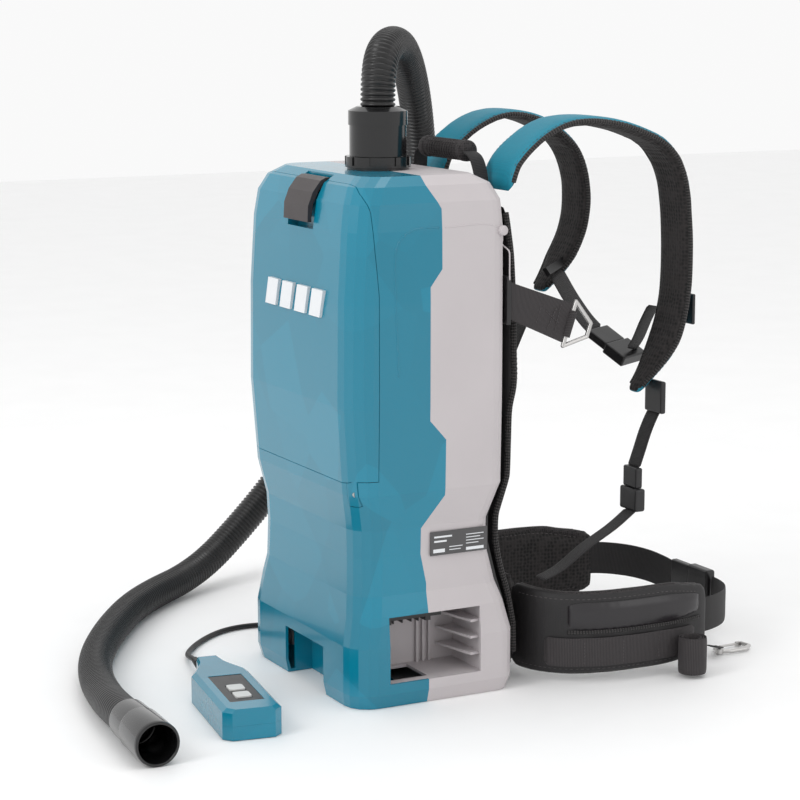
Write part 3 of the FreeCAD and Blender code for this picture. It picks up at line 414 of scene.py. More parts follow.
def band(name, line, across, half_width, half_thick, power=3.0, around=40, round_end=6.0, dent=None,
         materials=None):
    """Closed strap or pad that follows a line, with a rounded section and its ends drawn in.

    The outer side is along tangent x across. It takes the first of the materials, and the inner side the other.
    half_width and half_thick are functions of the share of the length.
    """
    line = np.array(line, float)
    ts, run = tangents(line), lengths(line)
    total = run[-1]
    rings, uvs = [], []
    for p, t, s in zip(line, ts, run):
        share = s / total
        w = np.array(across(share) if callable(across) else across, float)
        w = unit(w - t * np.dot(w, t))
        n = np.cross(t, w)
        edge = min(s, total - s)
        draw = math.sqrt(max(0.0, 1 - (1 - min(1.0, edge / round_end)) ** 2)) if edge < round_end else 1.0
        draw = max(draw, 0.08)
        a, b = half_width(share) * (0.72 + 0.28 * draw), half_thick(share) * draw
        ring = []
        for k in range(around):
            angle = 2 * math.pi * (k + 0.5) / around
            c, q = math.cos(angle), math.sin(angle)
            x = math.copysign(abs(c) ** (2 / power), c)
            y = math.copysign(abs(q) ** (2 / 2.2), q) * (1 - 0.35 * abs(x) ** 6)
            depth = dent(s, x * a, 1 if q > 0 else -1) if dent else 0.0
            ring.append(p + w * x * a + n * (y * b - math.copysign(depth, q) * min(1.0, abs(y) * 2)))
            uvs.append((s, x * a))
        rings.append(ring)
    obj = skin_rings(name, rings, uvs=uvs)
    if materials:
        obj.data.materials.clear()
        for key in materials:
            obj.data.materials.append(M[key])
        count = around
        for index, polygon in enumerate(obj.data.polygons):
            k = index % count
            inner = (k + 1) > count / 2
            if index < count * (len(rings) - 1):
                polygon.material_index = 1 if inner else 0
    return obj


def ribbon(name, line, across, width, thick=1.8):
    """Webbing: a thin flat strip with softened edges."""
    return band(name, line, across, lambda s: width / 2, lambda s: thick / 2, power=9.0, around=24,
                round_end=1.2)


def stitches(name, line, normals, long=3.0, gap=2.0, wide=0.55):
    """A row of raised thread stitches along a line."""
    line = np.array(line, float)
    run = lengths(line)
    points, faces = [], []
    place_at = 1.0
    while place_at + long < run[-1]:
        ends = []
        for s in (place_at, place_at + long / 2, place_at + long):
            p = np.array([np.interp(s, run, line[:, k]) for k in range(3)])
            n = unit(np.array([np.interp(s, run, normals[:, k]) for k in range(3)]))
            ends.append((p, n))
        t = unit(ends[2][0] - ends[0][0])
        base = len(points)
        for (p, n), size in zip(ends, (0.5, 1.0, 0.5)):
            w = unit(np.cross(t, n))
            for c, q in ((1, 0), (0.7, 0.7), (0, 1), (-0.7, 0.7), (-1, 0), (0, -0.6)):
                points.append(p + (w * c + n * q) * wide * size)
        for r in range(2):
            for k in range(6):
                a, b = base + r * 6 + k, base + r * 6 + (k + 1) % 6
                faces.append((a, b, b + 6, a + 6))
        faces.append(tuple(base + k for k in range(6))[::-1])
        faces.append(tuple(base + 12 + k for k in range(6)))
        place_at += long + gap
    obj = outward(mesh_object(name, points, faces))
    return place(obj, "thread", "webbing")


def block(name, size, matrix, bevel=1.5, segments=3, taper=1.0):
    """Moulded block with rounded edges, in the place that the matrix gives (mm)."""
    hx, hy, hz = (s / 2 for s in size)
    corners = [(-hx, -hy, -hz), (hx, -hy, -hz), (hx, hy, -hz), (-hx, hy, -hz),
               (-hx * taper, -hy * taper, hz), (hx * taper, -hy * taper, hz), (hx * taper, hy * taper, hz),
               (-hx * taper, hy * taper, hz)]
    faces = [(0, 3, 2, 1), (4, 5, 6, 7), (0, 1, 5, 4), (1, 2, 6, 5), (2, 3, 7, 6), (3, 0, 4, 7)]
    obj = mesh_object(name, [matrix @ Vector(c) for c in corners], faces)
    modifier = obj.modifiers.new("bevel", "BEVEL")
    modifier.width, modifier.segments = bevel * MM, segments
    return settle(obj, 40)


def join_meshes(name, objects):
    work = bmesh.new()
    for obj in objects:
        work.from_mesh(obj.data)
    mesh = bpy.data.meshes.new(name)
    work.to_mesh(mesh)
    work.free()
    for obj in objects:
        bpy.data.objects.remove(obj)
    mesh.set_sharp_from_angle(angle=math.radians(40))
    out = bpy.data.objects.new(name, mesh)
    bpy.context.scene.collection.objects.link(out)
    return out


# ---------------------------------------------------------------- cords
def nurbs(name, points_mm, bevel_mm=0.0):
    curve = bpy.data.curves.new(name, "CURVE")
    curve.dimensions = "3D"
    curve.bevel_depth = bevel_mm * MM
    curve.bevel_resolution = 5
    spline = curve.splines.new("NURBS")
    spline.points.add(len(points_mm) - 1)
    for point, place_mm in zip(spline.points, points_mm):
        point.co = (*(c * MM for c in place_mm), 1)
    spline.order_u = 3
    spline.use_endpoint_u = True
    spline.resolution_u = 12
    obj = bpy.data.objects.new(name, curve)
    bpy.context.scene.collection.objects.link(obj)
    return obj


HOSE_ROUTE = [
    (10, 4, 583), (10, 4, 604), (0, 12, 629), (-20, 29, 641), (-51, 54, 644), (-85, 81, 637),
    (-117, 107, 614), (-142, 128, 576), (-163, 144, 531), (-180, 158, 481), (-198, 172, 430),
    (-234, 187, 386), (-280, 195, 344), (-325, 190, 298), (-364, 172, 250), (-392, 144, 200),
    (-408, 108, 148), (-410, 68, 100), (-404, 26, 62), (-392, -15, 33), (-372, -57, 19),
    (-339, -103, 17.5), (-294, -148, 17.5), (-240, -188, 17.5), (-180, -226, 17.5),
    (-116, -260, 17.5), (-50, -284, 17.5), (16, -298, 18.5), (62, -304, 20.5), (98, -306, 21.5)]
CABLE_TO_COIL = [(-147, 70, 34), (-158, 70, 34), (-171, 71, 28), (-182, 74, 20)]
CABLE_TO_REMOTE = [
    (-165, 100, 2.8), (-166, 74, 2.8), (-173, 44, 2.8), (-186, 12, 2.8), (-200, -19, 2.8), (-209, -50, 2.8),
    (-203, -80, 2.8), (-184, -108, 2.8), (-158, -134, 2.8), (-131, -152, 4), (-105, -159.6, 9),
    (-81.1, -163.4, 12.5)]
COIL_CENTRE, COIL_RADIUS, COIL_TURNS, TURN_POINTS = (-195, 105), 30.0, 2.75, 16
COIL_TOP, COIL_DROP = 14.0, 5.6        # height of the top turn, and the step down to each turn below


def make_hose():
    guide = nurbs("hose_guide", HOSE_ROUTE)
    bpy.context.view_layer.update()
    mesh = bpy.data.meshes.new_from_object(guide.evaluated_get(bpy.context.evaluated_depsgraph_get()))
    raw = np.array([v.co for v in mesh.vertices], float) / MM
    bpy.data.objects.remove(guide)
    run = lengths(raw)
    steps = 6
    count = int(run[-1] / RIB_PITCH) * steps
    s = np.linspace(0, run[-1], count + 1)
    line = np.stack([np.interp(s, run, raw[:, k]) for k in range(3)], axis=1)
    total = run[-1]
    ridge = [0.0, 0.75, 1.0, 1.0, 0.75, 0.0]

    def radius(at):
        phase = ridge[int(round(at / total * count)) % steps]
        fade = 1.0 - 0.75 * smoothstep(total - 300, total - 40, at)
        return HOSE_RADIUS - RIB_HEIGHT * fade * (1 - phase)

    hose = tube("corrugated_hose", line, radius, around=36)
    place(hose, "hose", "hose_plastic", stands_for=("hose",))
    return hose, raw


def coil_points():
    points = []
    total = int(COIL_TURNS * TURN_POINTS)
    for k in range(1, total):
        turn = k / TURN_POINTS
        angle = math.radians(-90) - 2 * math.pi * turn
        drop = smoothstep(0.75, 1.0, turn) + smoothstep(1.75, 2.0, turn)
        x = COIL_CENTRE[0] + COIL_RADIUS * math.cos(angle)
        y = COIL_CENTRE[1] + COIL_RADIUS * math.sin(angle)
        points.append((x, y, COIL_TOP - COIL_DROP * drop))
    return points


def relief(name, origin, direction, length, big, small):
    """Tapered strain relief with grooves part of the way round its length."""
    profile, rings = [(0.0, 0.5), (0.02, big - 0.8), (1.2, big)], 7
    for k in range(rings):
        a = 5 + (length * 0.72 - 5) * k / rings
        step = (length * 0.72 - 5) / rings
        r = big + (small - big) * a / length
        profile += [(a, r), (a + step * 0.45, r - 0.1), (a + step * 0.5, r - 1.1), (a + step * 0.9, r - 1.15),
                    (a + step * 0.95, r - 0.2)]
    profile += [(length * 0.74, big + (small - big) * 0.74), (length - 0.6, small), (length, small - 0.5),
                (length, 0.5)]
    return lathe(name, profile, origin, direction, around=40)


add_camera()
hose, hose_path = make_hose()
cuff_direction = (math.cos(math.radians(-3)), math.sin(math.radians(-3)), 0)
cuff = lathe("hose_cuff_piece", [
    (0.0, 15.6), (0.0, 18.6), (1.0, 19.6), (3.0, 20.0), (30.0, 20.1), (33.5, 20.3), (34.6, 21.2),
    (36.0, 21.5), (80.0, 21.5), (83.6, 21.5), (84.7, 21.1), (85.0, 20.4), (85.0, 18.9), (84.2, 18.3),
    (82.5, 18.05), (24.0, 17.9), (23.0, 15.6)], HOSE_ROUTE[-1], cuff_direction)
# the bore stays open: the two end caps of the turned skin are taken away and joined inside
work = bmesh.new()
work.from_mesh(cuff.data)
work.faces.ensure_lookup_table()
caps = [f for f in work.faces if len(f.verts) > 8]
bmesh.ops.delete(work, geom=caps, context="FACES_ONLY")
rims = [e for e in work.edges if len(e.link_faces) == 1]
bmesh.ops.bridge_loops(work, edges=rims)
bmesh.ops.recalc_face_normals(work, faces=work.faces)
work.to_mesh(cuff.data)
work.free()
place(cuff, "black_gloss", "black_plastic", stands_for=("hose_cuff",))

cable = nurbs("remote_cable_run", CABLE_TO_COIL + coil_points() + CABLE_TO_REMOTE, CABLE_RADIUS)
cable.data.materials.append(M["cable"])
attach(cable, "root")
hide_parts("remote_cable", "cable_coil")
remote_turn = math.radians(-9)
remote_axis = np.array([math.cos(remote_turn), math.sin(remote_turn), 0])
remote_front = np.array([150.0, -200.0, 0.0])
neck = remote_front - remote_axis * 182 + np.array([0, 0, 12.5])
relief_remote = place(relief("relief_remote", neck, -remote_axis, 52.0, 6.5, 3.6), "cable", "cable_jacket")
relief_gland = place(relief("relief_casing", (-124.0, 70, 34), (-1, 0, 0), 23.0, 7.0, 3.5),
                     "cable", "cable_jacket", stands_for=("cable_reliefs",))


# ---------------------------------------------------------------- padded fabric
def tree_of(obj):
    mesh = obj.data
    corners = [v.co.copy() for v in mesh.vertices]
    return BVHTree.FromPolygons(corners, [tuple(p.vertices) for p in mesh.polygons])


def puff(obj, voxel=5.0, pressure=4.0, cap=3.0, frames=20):
    """Blow the piece up a little with Blender's cloth; its materials follow the nearest old face."""
    old_tree, old_faces = tree_of(obj), [p.material_index for p in obj.data.polygons]
    remesh = obj.modifiers.new("remesh", "REMESH")
    remesh.mode, remesh.voxel_size = "VOXEL", voxel * MM
    settle(obj)
    start = np.array([v.co for v in obj.data.vertices], float)
    cloth = obj.modifiers.new("cloth", "CLOTH")
    cloth.settings.quality = 5
    cloth.settings.mass = 0.3
    cloth.settings.use_pressure = True
    cloth.settings.uniform_pressure_force = pressure
    cloth.settings.effector_weights.gravity = 0
    cloth.settings.tension_stiffness = cloth.settings.compression_stiffness = 25
    cloth.point_cache.frame_start, cloth.point_cache.frame_end = 1, frames
    scene = bpy.context.scene
    for number in range(1, frames + 1):
        scene.frame_set(number)
    graph = bpy.context.evaluated_depsgraph_get()
    moved = np.array([v.co for v in obj.evaluated_get(graph).data.vertices], float)
    obj.modifiers.clear()
    scene.frame_set(1)
    shift = moved - start
    size = np.linalg.norm(shift, axis=1)
    shift *= (np.minimum(size, cap * MM) / np.maximum(size, 1e-9))[:, None]
    for vertex, place_at in zip(obj.data.vertices, start + shift):
        vertex.co = place_at
    obj.modifiers.new("smooth", "SUBSURF").levels = 1
    obj.modifiers["smooth"].render_levels = 1
    settle(obj)
    for polygon in obj.data.polygons:
        _, _, index, _ = old_tree.find_nearest(polygon.center)
        polygon.material_index = old_faces[index]
    return obj


def laid_on(line, normals, obj, lift=0.0, reach=30.0):
    """The line's points moved along their normals onto the surface of a piece."""
    tree, out = tree_of(obj), []
    for p, n in zip(line, normals):
        start = Vector(((p + n * reach) * MM).tolist())
        hit, _, _, _ = tree.ray_cast(start, Vector((-n).tolist()), reach * 2 * MM)
        out.append(np.array(hit) / MM + n * lift if hit else np.array(p, float))
    out = np.array(out)
    soft = out.copy()
    for _ in range(2):
        soft[1:-1] = (soft[:-2] + 2 * soft[1:-1] + soft[2:]) / 4
    return soft


def line_frames(line, across):
    ts = tangents(line)
    total = len(line) - 1
    ws, ns = [], []
    for i, t in enumerate(ts):
        w = np.array(across(i / total) if callable(across) else across, float)
        w = unit(w - t * np.dot(w, t))
        ws.append(w)
        ns.append(np.cross(t, w))
    return np.array(ws), np.array(ns)


def strap(name, points, x_centre, node, toe):
    """Padded shoulder strap: coloured outer cloth, air mesh inside, rolled piping down both edges."""
    line = smooth_line([(x_centre, y, z) for y, z in points], 5.0)
    across = (-1, 0, 0)

    def wide(share):
        return 31.0 - toe * smoothstep(0.86, 1.0, share) - 3.0 * smoothstep(0.35, 0.7, share)

    body = band(name, line, across, wide, lambda s: 4.6, power=5.0, around=36, round_end=10,
                materials=("teal_cloth", "mesh"))
    puff(body, voxel=4.0, pressure=4.0, cap=1.2)
    place(body, None, "teal_fabric", stands_for=(node,))
    ws, ns = line_frames(line, across)
    run = lengths(line) / lengths(line)[-1]
    for side in (-1, 1):
        offset = np.array([wide(s) for s in run])[:, None]
        edge = line + ws * side * offset
        edge = laid_on(edge[2:-2], ws[2:-2] * side, body, lift=-0.6)
        pipe = tube(f"{name}_piping_{'a' if side > 0 else 'b'}", edge, 2.5, around=10)
        place(pipe, "braid", "webbing")
        seam = line + ws * side * (offset - 5.0)
        seam = laid_on(seam[3:-3], ns[3:-3], body, lift=0.05)
        stitches(f"{name}_seam_{'a' if side > 0 else 'b'}", seam, ns[3:-3], long=3.2, gap=1.8, wide=0.4)
    return body


STRAP_RIGHT_PATH = [(108, 500), (114, 524), (138, 548), (165, 563), (195, 568), (230, 564), (262, 555),
                    (290, 542), (307, 524), (317, 500), (322, 465), (324, 425), (322, 380), (312, 340),
                    (294, 310), (270, 282)]
STRAP_LEFT_PATH = [(108, 500), (114, 524), (138, 548), (165, 563), (190, 568), (222, 562), (250, 548),
                   (272, 528), (284, 500), (287, 470), (282, 440), (268, 412), (250, 388), (238, 374)]
strap("strap_right_pad", STRAP_RIGHT_PATH, STRAP_X, "shoulder_strap_right", 17.0)
strap("strap_left_pad", STRAP_LEFT_PATH, -STRAP_X, "shoulder_strap_left", 14.0)

# ---------------------------------------------------------------- back pad
PAD_OUTER = [(119, 20), (117, 60), (111, 100), (101, 130), (98, 170), (113, 215), (116, 285), (128, 305),
             (123, 400), (118, 440), (106, 478), (101, 490)]
PAD_INNER = [(109.8, 20), (109.8, 62), (101.8, 92), (94.8, 112), (84.8, 150), (84.8, 178), (97.8, 214),
             (97.8, 470), (97, 490)]
pad_heights = np.linspace(20, 490, 95)
pad_front = np.interp(pad_heights, [z for _, z in PAD_INNER], [y for y, _ in PAD_INNER])
pad_back = np.interp(pad_heights, [z for _, z in PAD_OUTER], [y for y, _ in PAD_OUTER])
for _ in range(4):
    pad_back[1:-1] = (pad_back[:-2] + 2 * pad_back[1:-1] + pad_back[2:]) / 4
pad_line = np.array([(0, (a + b) / 2, z) for a, b, z in zip(pad_front, pad_back, pad_heights)])


def pad_half(share):
    return float(np.interp(share * 470 + 20, pad_heights, (pad_back - pad_front) / 2)) - 0.9


def pad_channels(s, x, side):
    """Sewn channels on the wearer's side: two upright ones, and a cross channel every 75 mm."""
    if side < 0:
        return 0.0
    upright = max(0.0, 1 - abs(abs(x) - 30) / 7)
    cross = max(0.0, 1 - abs((s % 75) - 37) / 7)
    return 3.0 * max(upright, cross) ** 2


pad = band("back_cushion", pad_line, (1, 0, 0), lambda s: 96.0, pad_half, power=9.0, around=120, round_end=8,
           dent=pad_channels, materials=("mesh", "black_cloth"))
place(pad, None, "black_fabric", stands_for=("back_pad",))
for side in (-1, 1):
    edge = pad_line[2:-2].copy()
    edge[:, 0] = side * 96.4
    place(tube(f"back_cushion_piping_{'r' if side > 0 else 'l'}", edge, 3.1, around=12), "braid", "webbing")
    seam = pad_line[3:-3].copy()
    seam[:, 0] = side * 90.0
    away = np.tile([0.0, 1.0, 0.0], (len(seam), 1))
    stitches(f"back_cushion_seam_{'r' if side > 0 else 'l'}", laid_on(seam, away, pad, 0.05), away)

# ---------------------------------------------------------------- hip belt
WING_RIGHT_PATH = [(62, 132), (98, 138), (126, 157), (141, 194), (145, 240), (143, 285), (132, 325)]
LOOP_PITCH = 42.0                      # from one seam of the belt loops to the next
WING_LEFT_PATH = [(-62, 132), (-98, 138), (-126, 160), (-138, 200), (-140, 250), (-133, 300), (-117, 345)]


def wing(name, points, sign, node):
    line = smooth_line([(x, y, BELT_MIDDLE) for x, y in points], 4.0)
    across = (0, 0, sign)

    def wide(share):
        return BELT_HALF - 9.0 * smoothstep(0.72, 1.0, share)

    body = band(name, line, across, wide, lambda s: 7.6, power=6.0, around=48, round_end=18,
                materials=("black_cloth", "mesh"))
    puff(body, voxel=4.5, pressure=4.0, cap=1.8)
    place(body, None, "black_fabric", stands_for=(node,))
    ws, ns = line_frames(line, across)
    ups = ws * sign
    count = len(line)
    run = lengths(line) / lengths(line)[-1]
    drop = np.array([BELT_HALF - wide(s) for s in run])[:, None]
    for label, side, thick in (("top", 1, 4.4), ("low", -1, 3.4)):
        edge = line + ups * side * (BELT_HALF - drop)
        edge = laid_on(edge[4:-4], ups[4:-4] * side, body, lift=-thick * 0.75)
        place(tube(f"{name}_edging_{label}", edge, thick, around=14), "mesh_fine", "black_fabric")
        seam = line + ups * side * (BELT_HALF - drop - 9.5)
        for face in (-1, 1):
            own = laid_on(seam[5:-5], ns[5:-5] * face, body, lift=0.05)
            face_name = "in" if face < 0 else "out"
            stitches(f"{name}_seam_{label}_{face_name}", own, ns[5:-5] * face, long=3.4, gap=2.2, wide=0.45)
    # puffed panel above, belt loops of webbing below, both on the outside
    first, last = int(count * 0.30), int(count * 0.93)
    panel_line = laid_on(line + ups * 19.0, ns, body, lift=0.0)[first:last]

    def puckers(s, x, side):
        if side < 0:
            return 0.0
        rim = smoothstep(5, 13, abs(x))
        return rim * 1.2 * (0.5 + 0.5 * math.sin(s * 2 * math.pi / 9.0 + 1.7 * math.sin(s / 13.0)))

    panel = band(f"{name}_panel", panel_line, across, lambda s: 14.5 - 4.0 * smoothstep(0.7, 1, s),
                 lambda s: 3.6, power=2.6, around=44, round_end=22, dent=puckers)
    place(panel, "satin", "black_fabric")
    rim_low = laid_on(line + ups * 3.0, ns, body, lift=0.8)[first:last]
    place(tube(f"{name}_panel_piping", rim_low, 1.9, around=10), "braid", "webbing")
    belt_line = laid_on(line - ups * 18.0, ns, body, lift=1.1)[int(count * 0.22):int(count * 0.90)]
    belt_run = lengths(belt_line)
    _, belt_normals = line_frames(belt_line, across)
    loops = np.array([1.4 * abs(math.sin(math.pi * s / LOOP_PITCH)) ** 0.6 for s in belt_run])
    belt = ribbon(f"{name}_loops", belt_line + belt_normals * loops[:, None], across, 30.0, 1.5)
    place(belt, "grey_webbing", "webbing")
    place_at = LOOP_PITCH
    while place_at < belt_run[-1] - 5:
        centre = np.array([np.interp(place_at, belt_run, belt_line[:, k]) for k in range(3)])
        normal = unit(np.array([np.interp(place_at, belt_run, belt_normals[:, k]) for k in range(3)]))
        rise = np.linspace(-13.5, 13.5, 8)[:, None] * np.array([[0, 0, 1.0]])
        seam_line = centre + rise + normal * 0.9
        stitches(f"{name}_loop_seam_{int(place_at)}", seam_line, np.tile(normal, (8, 1)), long=2.4, gap=1.0,
                 wide=0.5)
        place_at += LOOP_PITCH


wing("wing_right", WING_RIGHT_PATH, 1, "hip_wing_right")
wing("wing_left", WING_LEFT_PATH, -1, "hip_wing_left")
belt_back_line = np.array([(x, 132.0, BELT_MIDDLE) for x in np.linspace(-59.5, 59.5, 30)])
belt_back = band("belt_back_cushion", belt_back_line, (0, 0, -1), lambda s: BELT_HALF, lambda s: 9.6,
                 power=5.0, around=48, round_end=5, materials=("mesh", "black_cloth"),
                 dent=lambda s, x, side: 1.8 * max(0.0, 1 - abs(abs(x) - 17) / 5) ** 2)
place(belt_back, None, "black_fabric", stands_for=("hip_belt_back",))
for label, z in (("top", 96.6), ("low", 6.4)):
    edge = np.array([(x, 132.0, z) for x in np.linspace(-56, 56, 30)])
    place(tube(f"belt_back_edging_{label}", edge, 3.4, around=12), "mesh_fine", "black_fabric")

# ---------------------------------------------------------------- carry handle
grip_line = np.array([(x, *GRIP_AT) for x in np.arange(-45, 43.01, 0.8)])


def grip_radius(s):
    """Wrapped grip: a rolled collar at each end and slanting ridges between."""
    first = smoothstep(0, 2, s) * (1 - smoothstep(8, 10, s))
    last = smoothstep(78, 80, s) * (1 - smoothstep(86, 88, s))
    ridge = 0.8 * max(0.0, math.sin(2 * math.pi * s / 5.2)) if 12 < s < 76 else 0.0
    return 9.6 + 1.2 * (first + last) + ridge


place(tube("carry_handle_grip", grip_line, grip_radius, around=32), "mesh_fine", "seal_rubber",
      stands_for=("carry_grip",))
seam_points = grip_line[14:-14] + np.array([0, -7.0, 7.4])
seam_side = np.tile(unit(np.array([0, -1.0, 1.0])), (len(seam_points), 1))
stitches("carry_handle_seam", seam_points, seam_side, 3.0, 2.2)

# ---------------------------------------------------------------- webbing
CHEST_ACROSS = (-0.54, 0.82, 0.17)
WEBS = [
    ("handle_web_right", [(42, 89, 538), (56, 90, 532), (63, 92, 514), (65, 92, 497)], (0, 1, 0), 16, 2.6),
    ("handle_web_left", [(-44, 89, 538), (-58, 90, 532), (-65, 92, 514), (-67, 92, 497)], (0, 1, 0), 16, 2.6),
    ("chest_web_left", [(-44, 247, 397), (-36, 262, 368), (-27, 275, 346), (-19, 281.4, 336)],
     CHEST_ACROSS, 33, 1.8),
    ("chest_web_right", [(23.5, 300, 319.5), (27.5, 305, 330), (33, 311, 350), (38, 317, 367)],
     (-0.35, 0.9, 0), 23, 1.8),
    ("lower_web_right_top",
     [(82, 296.5, 282), (81, 297, 270), (80, 291, 260), (80, 282.5, 243), (81, 274, 222), (82, 267, 205)],
     (1, 0, 0), 23, 1.8),
    ("lower_web_right_end",
     [(84, 264, 161), (89, 238, 147), (96, 198, 130), (100, 165, 112), (101, 142, 104)],
     (1, 0, 0), 20, 1.8),
    ("lower_web_left", [(-70, 232, 364), (-72, 216, 330), (-76, 196, 280), (-82, 176, 220), (-90, 156, 160),
                        (-98, 142, 110)], (1, 0, 0), 23, 1.8)]
for number, (name, points, across, width, thick) in enumerate(WEBS):
    web = ribbon(name, smooth_line(points, 3.0), across, width, thick)
    place(web, "webbing", "webbing", stands_for=() if number else ("strap_webbing",))
HIP_WEBS = [
    ("hip_web_right",
     [(135, 312, 51), (127, 337, 50), (112, 362, 49), (88, 383, 47), (62, 395, 45), (39, 400, 44)],
     (0, 0, 1), 37, 1.8),
    ("hip_web_left",
     [(-124, 322, 54), (-116, 348, 55), (-98, 376, 53), (-76, 392, 50), (-52, 400, 46), (-35, 401, 44)],
     (0, 0, 1), 37, 1.8),
    ("clip_web", [(128.6, 338, 14), (122, 349, 9.5), (118.5, 357, 8)], (1, 0.5, 0), 12, 1.8)]
for name, points, across, width, thick in HIP_WEBS:
    place(ribbon(name, smooth_line(points, 3.0), across, width, thick), "webbing", "webbing")
roll_points = []
for k in range(150):
    turn = k / 149 * 2.4
    radius = 9.0 + 6.0 * turn / 2.4
    angle = 2 * math.pi * turn
    roll_points.append((170.6 + radius * math.cos(angle), 284 + radius * math.sin(angle), 23.0))
roll = ribbon("hip_web_roll", np.array(roll_points), (0, 0, 1), 38, 2.0)
place(roll, "grey_webbing", "webbing", stands_for=("hip_webbing",))

# ---------------------------------------------------------------- side tabs
TAB_TOP, TAB_LOW = (167.0, 388.0), (154.0, 350.0)
TAB_CROSS = [((148, 386), (136, 364)), ((151, 369), (134, 384)), ((131, 391), (124, 371)),
             ((153, 389), (145, 360))]     # stitch lines across the tab's end, from and to (y, z)
TAB_STEPS, TAB_LANES = 26, 10
LOOP_OUTER, LOOP_INNER, LOOP_SIDES = 4.3, 2.7, 24


def tab_strip(label, sign):
    """Tapering webbing tab with a slight wave, as two faces and the rim between them."""
    base_top, base_low = np.array([94.2, 414.0]), np.array([94.2, 377.0])
    tip_top, tip_low = np.array(TAB_TOP), np.array(TAB_LOW)
    points, uvs, faces = [], [], []
    for face in (1, -1):
        for i in range(TAB_STEPS + 1):
            f = i / TAB_STEPS
            for j in range(TAB_LANES + 1):
                g = j / TAB_LANES
                y, z = (base_top * (1 - f) + tip_top * f) * (1 - g) + (base_low * (1 - f) + tip_low * f) * g
                wave = 0.5 * math.sin(f * 5.0) * math.sin(math.pi * g)
                points.append((sign * (TAB_X + face * 1.1 + wave), y, z))
                uvs.append((f * 78, g * 38))

    def at(face, i, j):
        return face * (TAB_STEPS + 1) * (TAB_LANES + 1) + i * (TAB_LANES + 1) + j

    for i in range(TAB_STEPS):
        for j in range(TAB_LANES):
            faces.append((at(0, i, j), at(0, i + 1, j), at(0, i + 1, j + 1), at(0, i, j + 1)))
            faces.append((at(1, i, j), at(1, i, j + 1), at(1, i + 1, j + 1), at(1, i + 1, j)))
    rim = [(i, 0) for i in range(TAB_STEPS)] + [(TAB_STEPS, j) for j in range(TAB_LANES)]
    rim += [(i, TAB_LANES) for i in range(TAB_STEPS, 0, -1)] + [(0, j) for j in range(TAB_LANES, 0, -1)]
    for (i, j), (m, n) in zip(rim, rim[1:] + rim[:1]):
        faces.append((at(0, i, j), at(1, i, j), at(1, m, n), at(0, m, n)))
    tab = outward(mesh_object(f"side_tab_{label}", points, faces, uvs=uvs, sharp=50))
    place(tab, "grey_webbing", "webbing", stands_for=("side_tabs",) if sign > 0 else ())


def tab_loop(label, sign):
    """Webbing sewn round the bar of the triangle ring, as an open-ended sleeve."""
    low = np.array([sign * TAB_X, TAB_LOW[0] + 3, TAB_LOW[1] - 1])
    along = unit(np.array([0.0, TAB_TOP[0] - TAB_LOW[0], TAB_TOP[1] - TAB_LOW[1]]))
    length = math.hypot(TAB_TOP[0] - TAB_LOW[0], TAB_TOP[1] - TAB_LOW[1])
    u, v = np.array([1.0, 0, 0]), np.cross(along, [1.0, 0, 0])
    turn = np.linspace(0, 2 * math.pi, LOOP_SIDES + 1)
    points, faces, count = [], [], 12
    for distance in np.linspace(0, length - 13, count):
        p = low + along * (6.5 + distance)
        points += [p + (u * math.cos(a) + v * math.sin(a)) * LOOP_OUTER for a in turn[:-1]]
        points += [p + (u * math.cos(a) + v * math.sin(a)) * LOOP_INNER for a in turn[::-1][:-1]]
    per = 2 * LOOP_SIDES
    for r in range(count - 1):
        for half in (0, LOOP_SIDES):
            for k in range(LOOP_SIDES):
                a, b = r * per + half + k, r * per + half + (k + 1) % LOOP_SIDES
                faces.append((a, b, b + per, a + per))
    for r in (0, count - 1):
        for k in range(LOOP_SIDES):
            outer_a, outer_b = r * per + k, r * per + (k + 1) % LOOP_SIDES
            inner_a = r * per + LOOP_SIDES + (LOOP_SIDES - k) % LOOP_SIDES
            inner_b = r * per + LOOP_SIDES + LOOP_SIDES - k - 1
            faces.append((outer_a, outer_b, inner_b, inner_a))
    uvs = [(p[2], k) for k, p in enumerate(points)]
    place(outward(mesh_object(f"side_tab_loop_{label}", points, faces, uvs=uvs, sharp=50)),
          "grey_webbing", "webbing")


for label, sign in (("r", 1), ("l", -1)):
    tab_strip(label, sign)
    tab_loop(label, sign)
    away = np.array([sign * 1.0, 0, 0])
    for number, (a, b) in enumerate(TAB_CROSS):
        row = np.array([(sign * (TAB_X + 1.3), a[0] * (1 - f) + b[0] * f, a[1] * (1 - f) + b[1] * f)
                        for f in np.linspace(0, 1, 10)])
        stitches(f"side_tab_cross_{label}_{number}", row, np.tile(away, (10, 1)), 2.6, 0.9, 0.45)


# ---------------------------------------------------------------- plain printed bars
BARS = [(10, 30, 165.5, 1.8), (10, 24, 161, 1.8), (9, 22, 151.5, 3.6), (27, 42, 154.5, 0.8),
        (27, 40, 151.5, 0.8), (46, 66, 165, 0.8), (46, 62, 162, 0.8), (46, 66, 159, 0.8),
        (46, 60, 156, 0.8), (46, 66, 150.5, 3.0)]
bars = [block(f"bar_{k}", (0.24, y1 - y0, tall), Matrix.Translation((118.46, (y0 + y1) / 2, z)),
              bevel=0.05, segments=1)
        for k, (y0, y1, z, tall) in enumerate(BARS)]
place(join_meshes("plate_bars", bars), "print", "badge_white")


